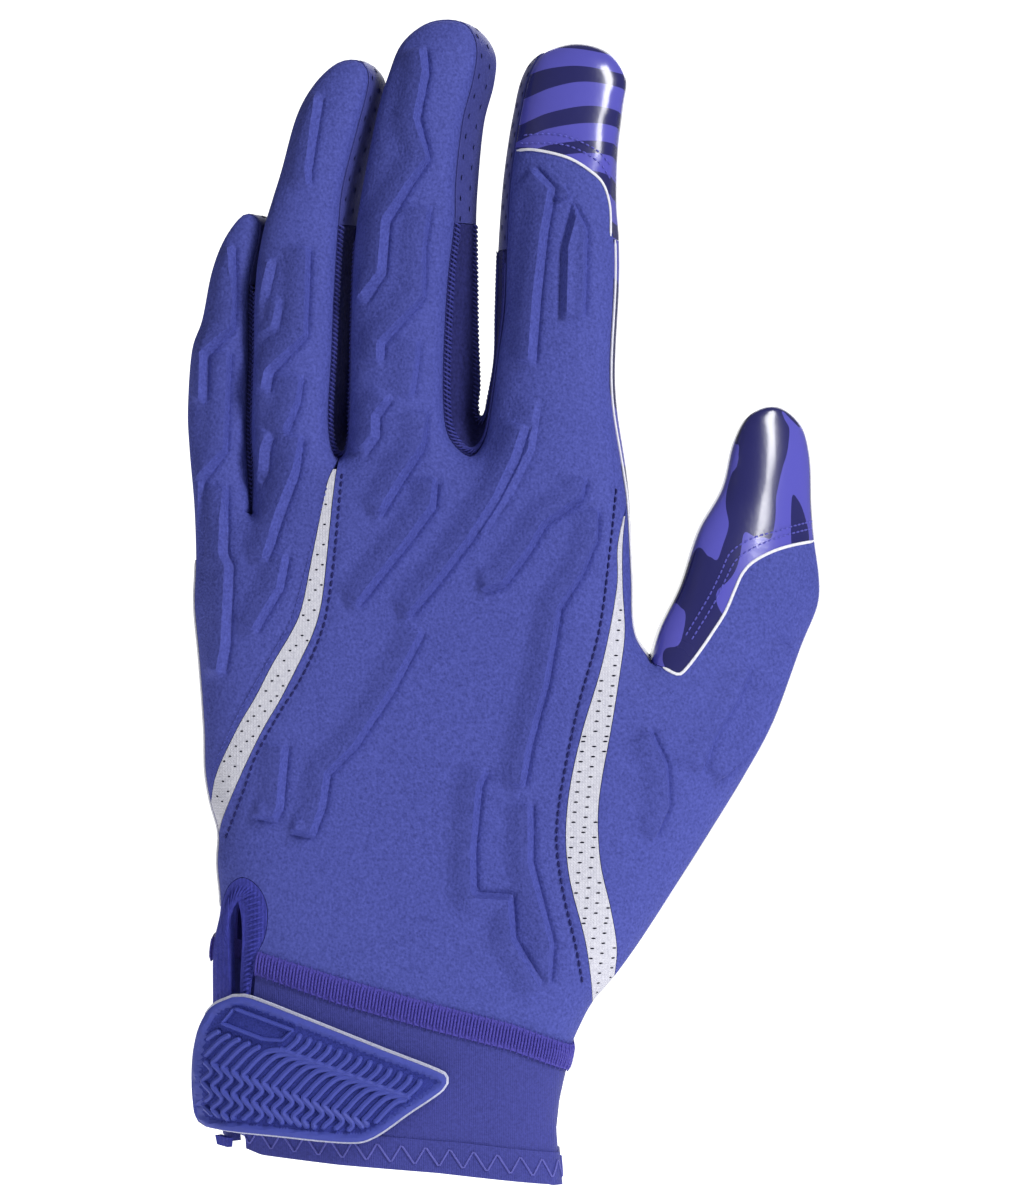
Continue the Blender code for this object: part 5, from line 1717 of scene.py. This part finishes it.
@dataclass
class FlexInserts:
    """The two white stretch inserts with their rows of small slits."""

    body: Body
    seams: Seams
    step: float = 0.0010
    thick: float = 0.0012
    hole_left: tuple[float, float] = (0.00062, 0.00036)
    hole_right: tuple[float, float] = (0.00095, 0.00034)

    def holes(
        self, owner: bpy.types.Object, ring: np.ndarray, size: tuple[float, float], lean: float
    ) -> None:
        """Set staggered rows of holes over an insert.

        Args:
            owner: The insert.
            ring: Its outline.
            size: Width and height of a hole.
            lean: Steps across that each row shifts by.
        """
        wide, high = PERFORATION_PITCH
        spots = [
            (column * wide + (row * lean) % wide, row * high + 0.5 * high * (column % 2))
            for row in HOLE_ROWS for column in HOLE_COLUMNS
        ]
        flat = on_grid(spots)
        flat = flat[inside_ring(flat, ring)]
        flat = flat[ring_distance(flat, ring) > 0.0004]
        points, normals = self.body.back.place(flat)
        detail(discs(f"{owner.name}_holes", points, normals, *size), HOLE, owner)

    def build(self) -> None:
        """Build both inserts."""
        body, seams = self.body, self.seams
        skin = Skin()
        ring = Ring(body.outline, body.back).along("insert_low", "insert_high")
        ring.across(seams.outer_left[1:][::-1]).across(seams.outer_right[1:])
        ring.fill(skin, self.step)
        outer = dress(skin.solid("outer_flex_insert", self.thick), MESH, "flex_insert_outer")
        self.holes(outer, np.array(ring.points), self.hole_left, -6.0)

        skin = Skin()
        ring = Ring(body.outline, body.back).along("insert_end_right", "insert_end_left")
        ring.across(seams.inner_left[1:][::-1]).across(seams.inner_right[1:])
        ring.fill(skin, self.step)
        inner = dress(skin.solid("thumb_flex_insert", self.thick), MESH, "flex_insert_inner")
        self.holes(inner, np.array(ring.points), self.hole_right, -1.2)

    @staticmethod
    def area(ring: Ring) -> float:
        """Return the flat area of a ring, a little larger for the curve that it lies on."""
        points = np.array(ring.points)
        ahead = np.roll(points, -1, axis=0)
        return 1.04 * abs(float(np.sum(points[:, 0] * ahead[:, 1] - ahead[:, 0] * points[:, 1]))) / 2.0


@dataclass
class GripPalm:
    """The glossy palm with its index cap and thumb wrap, their white raw edges and stitches."""

    body: Body
    seams: Seams
    step: float = 0.0016
    cap_step: float = 0.0010
    thick: float = 0.0014

    def edge(self, owner: bpy.types.Object, name: str, rows: Rows, half: float) -> None:
        """Lay a white raw edge along a line on the back face."""
        flat = sewn_line(rows)
        points, normals = self.body.back.place(flat, 0.0, 0.00012)
        detail(tube(name, points, normals, half, 0.00022), RAW_EDGE, owner)

    def wall_edge(self, owner: bpy.types.Object, name: str, first: str, last: str, place: float) -> None:
        """Lay a white raw edge along the side wall between two marks."""
        points, normals = self.body.wall_line(first, last, place, 0.00008)
        detail(tube(name, points, normals, 0.00045, 0.00030), RAW_EDGE, owner)

    def build(self) -> None:
        """Build the cap, the thumb wrap and the palm."""
        body, seams, outline = self.body, self.seams, self.body.outline
        skin = Skin()
        ring = Ring(outline, body.back).along("cap_left", "cap_right").across(seams.cap[::-1])
        joined = ring.fill(skin, self.cap_step)
        body.wall(skin, "index_tip", "cap_right", 6, Join.BACK, joined)
        cap = dress(skin.solid("index_grip_cap", self.thick), CAP_CAMO, "index_tip_cap")
        self.edge(cap, "index_cap_raw_edge", CAP_WHITE_EDGE, 0.00030)
        self.sew(cap, "index_cap_stitches", CAP_STITCH_LINES)

        skin = Skin()
        ring = Ring(outline, body.back).along("web", "grip_high").across(seams.grip[::-1])
        joined = ring.fill(skin, self.cap_step)
        body.wall(skin, "web", "grip_high", 6, Join.BACK, joined)
        thumb = dress(skin.solid("thumb_grip_wrap", self.thick), CAMO, "thumb_grip")
        self.edge(thumb, "thumb_raw_edge", THUMB_WHITE_EDGE, 0.00032)
        self.sew(thumb, "thumb_grip_stitches", THUMB_STITCH_LINES)

        skin = Skin()
        ring = Ring(outline, body.palm).along("band_top_left", "band_top_right")
        right, left = (outline.palm[outline.marks[mark]][0] for mark in ("band_top_right", "band_top_left"))
        ring.across(seams.wrist(BAND_TOP, right, left))
        joined = ring.fill(skin, self.step)
        turned_up = (("band_top_left", "little_tip"), ("cap_right", "web"), ("grip_high", "band_top_right"))
        for first, last in turned_up:
            body.wall(skin, first, last, 6, Join.PALM, joined)
        palm = dress(skin.solid("grip_palm", self.thick), CAMO, "palm_panel")
        self.wall_edge(palm, "index_side_raw_edge", "cap_right", "web", 0.07)
        self.wall_edge(palm, "outer_side_raw_edge", "vent_top", "raw_edge_top", 0.05)

    def sew(self, owner: bpy.types.Object, name: str, lines: Sequence[Rows]) -> None:
        """Sew double rows on a grip piece."""
        for number, rows in enumerate(lines):
            flat = sewn_line(rows)
            points, normals = self.body.back.place(flat)
            detail(FINE_STITCH.run(f"{name}_{number + 1}", points, normals), BLUE_THREAD, owner)


@dataclass
class FingerSides:
    """The perforated leather strips round the fingertips and the dark gussets between the fingers."""

    body: Body
    thick: float = 0.0010
    rows: int = 8
    hole: float = 0.00120
    hole_pitch: float = 0.0044
    hole_rows: tuple[tuple[float, float], ...] = ((0.22, 0.0), (0.60, 0.5))
    cords: tuple[tuple[str, float], ...] = (("back", 0.10), ("palm", 0.90))
    bar_reach: float = 0.09
    bar_lift: float = 0.0002
    strips: tuple[tuple[str, str, str, str], ...] = (
        ("little_finger_strip", "little_side_strip", "little_tip", "little_join"),
        ("ring_finger_strip", "ring_side_strip", "ring_join_left", "ring_join_right"),
        ("middle_finger_strip", "middle_side_strip", "middle_join_left", "middle_join_right"),
        ("index_finger_strip", "index_side_strip", "index_join", "index_tip"),
    )
    gussets: tuple[tuple[str, str, str, str], ...] = (
        ("little_ring_gusset", "gusset_little_ring", "little_join", "ring_join_left"),
        ("ring_middle_gusset", "gusset_ring_middle", "ring_join_right", "middle_join_left"),
        ("middle_index_gusset", "gusset_middle_index", "middle_join_right", "index_join"),
    )

    def build(self) -> None:
        """Build the strips and the gussets."""
        for name, node, first, last in self.strips:
            skin = Skin()
            self.body.wall(skin, first, last, self.rows)
            strip = dress(skin.solid(name, self.thick), LEATHER, node)
            centres, squares = [], []
            for place, shift in self.hole_rows:
                points, normals = self.body.wall_line(first, last, place, 0.0)
                length = lengths(points)
                where = np.arange((0.6 + shift) * self.hole_pitch, length[-1], self.hole_pitch)
                centres.append(read_rows(where, length, points))
                squares.append(unit(read_rows(where, length, normals)))
            holes = discs(f"{name}_holes", np.vstack(centres), np.vstack(squares), self.hole, self.hole)
            detail(holes, HOLE, strip)
            seam, square = self.body.wall_line(first, last, 0.04, 0.0)
            detail(tube(f"{name}_seam_lip", seam, square, 0.00030, 0.00022, 6), LEATHER, strip)
        for name, node, first, last in self.gussets:
            skin = Skin()
            self.body.wall(skin, first, last, self.rows)
            gusset = dress(skin.solid(name, self.thick), GUSSET, node)
            for side, place in self.cords:
                seam, square = self.body.wall_line(first, last, place, 0.0)
                detail(tube(f"{name}_{side}_cord", seam, square, 0.00045, 0.00035, 8), GUSSET, gusset)
                low, _ = self.body.wall_line(first, last, place - self.bar_reach, self.bar_lift)
                high, _ = self.body.wall_line(first, last, place + self.bar_reach, self.bar_lift)
                low, high, square = (even_steps(row, EDGE_STITCH.pitch) for row in (low, high, square))
                count = min(len(low), len(high), len(square))
                bars = EDGE_STITCH.bars(
                    f"{name}_{side}_overlock", low[:count - 1], high[1:count], unit(square[:count - 1])
                )
                detail(bars, GUSSET_THREAD, gusset)


@dataclass
class WristCuff:
    """The overlock band, the jersey cuff with its zigzag hem, and the bound vent."""

    body: Body
    seams: Seams
    band_thick: float = 0.0018
    cuff_thick: float = 0.0014
    hem_thick: float = 0.0022
    binding_thick: float = 0.0020
    zigzag_pitch: float = 0.0050
    zigzag_radius: float = 0.00022
    zigzag_swing: float = 0.29
    zigzag_lift: float = 0.00012
    thread_reach: float = 0.0004
    thread_play: float = 0.0001
    tape_pitch: float = 0.0011

    def build(self) -> None:
        """Build the band, cuff, hem and binding."""
        self.band()
        spots = round_wrist(CUFF_START, 0.0, 0.0, 72)
        skin = Skin()
        skin.add_grid(*self.body.wrist_grid(spots, BAND_LOW, HEM_TOP, 0.0, 14))
        cuff = dress(skin.solid("jersey_cuff", self.cuff_thick), JERSEY, "cuff_band")
        self.hem()
        self.binding()

    def band(self) -> None:
        """Build the overlock band and its upright threads."""
        spots = round_wrist(BAND_START, 0.0, BAND_RISE, 60)
        skin = Skin()
        skin.add_grid(*self.body.wrist_grid(spots, BAND_TOP, BAND_LOW, BAND_RISE, 3))
        band = dress(skin.solid("overlock_seam_band", self.band_thick), OVERLOCK, "overlock_band")
        points, normals = self.body.wrist_grid(spots, BAND_TOP, BAND_LOW, BAND_RISE, 1)
        upper, lower = (even_steps(row, OVERLOCK_BAR.pitch) for row in points[:2])
        share = np.linspace(0, 1, len(upper))
        square = read_rows(share, np.linspace(0, 1, len(normals[0])), normals[0])
        ends = read_rows(share, np.linspace(0, 1, len(lower)), lower)
        dice = random.Random(7)
        for number in range(len(upper)):
            along = unit(upper[number] - ends[number])
            upper[number] += along * (self.thread_reach if number % 2 else -self.thread_play)
            ends[number] -= along * (self.thread_reach if number % 2 == 0 else -self.thread_play)
            upper[number, 2] += dice.uniform(-self.thread_play, self.thread_play)
        threads = OVERLOCK_BAR.bars("overlock_threads", upper, ends, unit(square))
        detail(threads, OVERLOCK, band)

    def hem(self) -> None:
        """Build the folded hem and its zigzag stitch."""
        spots = round_wrist(HEM_START, HEM_END, HEM_RISE, 72)
        skin = Skin()
        skin.add_grid(*self.body.wrist_grid(spots, HEM_TOP, HEM_LOW, HEM_RISE, 6))
        hem = dress(skin.solid("folded_hem", self.hem_thick), JERSEY, "cuff_hem")
        points, normals = self.body.wrist_grid(spots, HEM_TOP, HEM_LOW, HEM_RISE, 6)
        middle = points[3]
        length = lengths(middle)
        turns = int(length[-1] / (0.5 * self.zigzag_pitch))
        where = np.linspace(0.0, length[-1], turns * 6 + 1)
        swing = np.arcsin(np.sin(math.pi * np.arange(len(where)) / 6.0 + 0.3))
        share = 0.5 + self.zigzag_swing * (2.0 / math.pi) * swing
        upper = read_rows(where, length, points[0])
        centre = read_rows(where, length, middle)
        lower = read_rows(where, length, points[6])
        square = unit(read_rows(where, length, normals[3]))
        place = share[:, None]
        above = upper + (centre - upper) * 2 * place
        below = centre + (lower - centre) * (2 * place - 1)
        line = np.where(place < 0.5, above, below) + self.zigzag_lift * square
        zigzag = tube("hem_zigzag_stitch", line, square, self.zigzag_radius, self.zigzag_radius)
        detail(zigzag, LILAC_THREAD, hem)

    def binding(self) -> None:
        """Build the bound vent and the cross ribs of its tape."""
        body = self.body
        slot, _ = spline(on_grid(VENT_SLOT), EDGE_STEP)
        leg, _ = spline(on_grid(VENT_LEG), EDGE_STEP)
        skin = Skin()
        ring = Ring(body.outline, body.back).along("vent_foot", "vent_top")
        ring.across(np.vstack([self.seams.vent[::-1], leg[::-1], slot, body.outline.at("vent_foot")[None]]))
        ring.fill(skin, 0.0009)
        tape = dress(skin.solid("vent_tape", self.binding_thick), TAPE, "vent_binding")
        outer = even_steps(np.vstack([leg, self.seams.vent]), self.tape_pitch)
        inner = even_steps(slot[:len(slot) // 2 + 12], self.tape_pitch)
        where = np.linspace(0, 1, len(outer))
        inner = read_rows(where, np.linspace(0, 1, len(inner)), inner)
        start, square = body.back.place(outer * 0.88 + inner * 0.12)
        end, _ = body.back.place(outer * 0.14 + inner * 0.86)
        ribs = TAPE_RIB.bars("vent_tape_ribs", start, end, square)
        detail(ribs, TAPE, tape)


@dataclass
class ClosureTab:
    """The pull strap: webbing round the wrist, a hook backing and a moulded rubber tab."""

    body: Body
    rib_half: float = 0.00072
    rib_high: float = 0.00095

    def plate(
        self, name: str, ring: np.ndarray, lift: float, thick: float, step: float, rim: float = 0.0
    ) -> bpy.types.Object:
        """Build a plate that follows the wrist, with a raised rim of a given height."""
        flat, faces, _ = fill_ring(ring, step)
        distance = ring_distance(flat, ring)
        rise = rim * (1.0 - smooth(distance, 0.70 * TAB_RIM_WIDTH, 1.05 * TAB_RIM_WIDTH))
        rise -= 0.35 * rim * (1.0 - smooth(distance, 0.0, 0.0006))
        skin = Skin()
        skin.add_patch(*self.body.back.place(flat, lift, rise), flat, faces, True)
        plate = skin.solid(name, thick)
        if rim:
            ground = ring_distance(flat[faces].mean(axis=1), ring) > 1.02 * TAB_RIM_WIDTH
            for polygon, sunk in zip(plate.data.polygons, ground):
                polygon.material_index = int(sunk)
        return plate

    def build(self) -> None:
        """Build the strap, backing, tab and webbing end."""
        clear = max(BAND_RISE, HEM_RISE) + LAYER_GAP
        strap_lift, backing_lift = clear + STRAP_THICK, clear + BACKING_THICK
        tab_lift = backing_lift + LAYER_GAP + TAB_THICK
        spots = [("palm", share) for share in cosine_run(STRAP_END, 0.0, 40)]
        spots += [("outer wall", share) for share in np.linspace(0.1, 0.95, 9)]
        skin = Skin()
        skin.add_grid(*self.body.wrist_grid(spots, STRAP_TOP, STRAP_LOW, strap_lift, 10))
        strap = dress(skin.solid("pull_strap", STRAP_THICK), TAPE, "strap_webbing")

        outline, _ = spline(on_grid((*TAB_OUTLINE, TAB_OUTLINE[0])), EDGE_STEP)
        outline = outline[:-1]
        grown = outline + BACKING_BORDER * ring_outward(outline)
        limit = edge_across(grown[:, 1], True) - backing_lift + BACKING_BORDER
        grown[:, 0] = np.maximum(grown[:, 0], limit)
        backing = self.plate("hook_backing", grown, backing_lift, BACKING_THICK, 0.0010)
        dress(backing, HOOK, "strap_backing")
        tab = self.plate("rubber_tab", outline, tab_lift, TAB_THICK, 0.0006, TAB_RIM_RISE)
        dress(tab, RUBBER, "strap_tab")
        tab.data.materials.append(FELT.build())
        self.ribs(tab, outline, tab_lift)
        end = self.plate("webbing_tail", on_grid(WEBBING_END), strap_lift, STRAP_THICK, 0.0008)
        dress(end, TAPE, "webbing_end")

    def ribs(self, tab: bpy.types.Object, outline: np.ndarray, lift: float) -> None:
        """Raise zigzag ribs over the tab's ground, clear of its rim and of the bare recess."""
        recess = on_grid(TAB_RECESS)
        self.ridge(tab, "tab_recess_ridge", np.vstack([recess, recess[:1]]), lift, 0.6 * self.rib_half)
        for number in range(-RIBS_LEFT, RIBS_RIGHT):
            shift = np.array(RIB_SHIFT) * number
            rows = np.array(RIB_START) + shift + np.array(RIB_SHAPE)
            flat = sewn_line(rows, RIB_STEP)
            keep = inside_ring(flat, outline) & (ring_distance(flat, outline) > 1.30 * TAB_RIM_WIDTH)
            keep &= ~inside_ring(flat, recess) & (ring_distance(flat, recess) > 2.2 * self.rib_half)
            turns = np.flatnonzero(np.diff(np.concatenate([[0], keep.astype(int), [0]])))
            for part, (first, last) in enumerate(zip(turns[::2], turns[1::2])):
                if last - first > 5:
                    name = f"tab_rib_{number + RIBS_LEFT + 1}_{part + 1}"
                    self.ridge(tab, name, flat[first:last], lift, self.rib_half)

    def ridge(self, tab: bpy.types.Object, name: str, flat: np.ndarray, lift: float, half: float) -> None:
        """Raise one rounded ridge along a line on the tab."""
        points, normals = self.body.back.place(even_steps(flat, RIB_STEP), lift, 0.0001)
        detail(tube(name, points, normals, half, self.rib_high, 8), RUBBER, tab)


@dataclass
class Studio:
    """Pale floor, soft light and the camera."""

    camera_back: float = 1.6
    centre: tuple[float, float] = (0.0237, 0.1172)
    tall: float = 0.252
    world: float = 0.20

    def build(self) -> None:
        """Set up the studio."""
        scene = bpy.context.scene
        data = bpy.data.cameras.new("studio_camera")
        camera = bpy.data.objects.new("studio_camera", data)
        scene.collection.objects.link(camera)
        across, up = self.centre
        camera.location = (across, -self.camera_back, up)
        camera.rotation_euler = (math.radians(90.0), 0.0, 0.0)
        data.sensor_width = 36.0
        data.lens = 36.0 * self.camera_back / self.tall
        data.clip_end = 20.0
        scene.camera = camera
        scene.view_settings.view_transform = "Standard"
        self.board("pale_floor", 0.45, -0.012, False, 0.75)
        self.board("white_backdrop", 1.5, 4.0, True, 1.1)
        self.sky()
        self.lamp("key_light", (0.85, -0.75, 0.85), (0.30, 0.90), 18.5)
        self.lamp("fill_light", (-0.9, -1.0, 0.25), (0.8, 0.8), 2.0)
        self.lamp("rim_light", (0.2, 0.8, 0.7), (0.8, 0.8), 5.0)

    @staticmethod
    def board(name: str, half: float, place: float, upright: bool, glow: float) -> None:
        """Set up a plain white board that glows a little, as a floor or as an upright backdrop.

        Args:
            name: Name of the board.
            half: Half its side.
            place: Its height, or how far behind the glove it stands.
            upright: Whether it stands.
            glow: Strength of its glow.
        """
        spread = [(-half, -half), (half, -half), (half, half), (-half, half)]
        corners = [(across, place, other) if upright else (across, other, place) for across, other in spread]
        item = mesh_object(name, np.array(corners), [(0, 1, 2, 3)])
        paint = bpy.data.materials.new(name)
        paint.use_nodes = True
        shader = paint.node_tree.nodes["Principled BSDF"]
        shader.inputs["Base Color"].default_value = (0.85, 0.85, 0.85, 1.0)
        shader.inputs["Roughness"].default_value = 0.9
        shader.inputs["Emission Color"].default_value = (1.0, 1.0, 1.0, 1.0)
        shader.inputs["Emission Strength"].default_value = glow
        item.data.materials.append(paint)

    def sky(self) -> None:
        """Light everything evenly in plain white."""
        world = bpy.data.worlds.new("white_studio")
        world.use_nodes = True
        back = world.node_tree.nodes["Background"]
        back.inputs["Color"].default_value = (1.0, 1.0, 1.0, 1.0)
        back.inputs["Strength"].default_value = self.world
        bpy.context.scene.world = world

    @staticmethod
    def lamp(name: str, spot: tuple[float, float, float], size: tuple[float, float], power: float) -> None:
        """Hang one soft lamp that faces the glove."""
        data = bpy.data.lights.new(name, "AREA")
        data.shape = "RECTANGLE"
        data.size, data.size_y = size
        data.energy = power
        item = bpy.data.objects.new(name, data)
        bpy.context.scene.collection.objects.link(item)
        item.location = spot
        aim = Vector((0.02, 0.0, 0.12)) - Vector(spot)
        item.rotation_euler = aim.to_track_quat("-Z", "Y").to_euler()


def write_size() -> None:
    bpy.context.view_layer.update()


def main() -> None:
    """Build every sub-assembly in order."""
    logging.basicConfig(level=logging.INFO, format="%(message)s")
    outline = Outline(EDGE_STEP)
    body = Body(outline, Face(outline.back, -1.0, BACK_CROWN), Face(outline.palm, 1.0, PALM_CROWN))
    seams = Seams(body)
    PaddedBack(body, seams).build()
    GripPalm(body, seams).build()
    FlexInserts(body, seams).build()
    FingerSides(body).build()
    WristCuff(body, seams).build()
    ClosureTab(body).build()
    Studio().build()
    write_size()


if __name__ == "__main__":
    main()
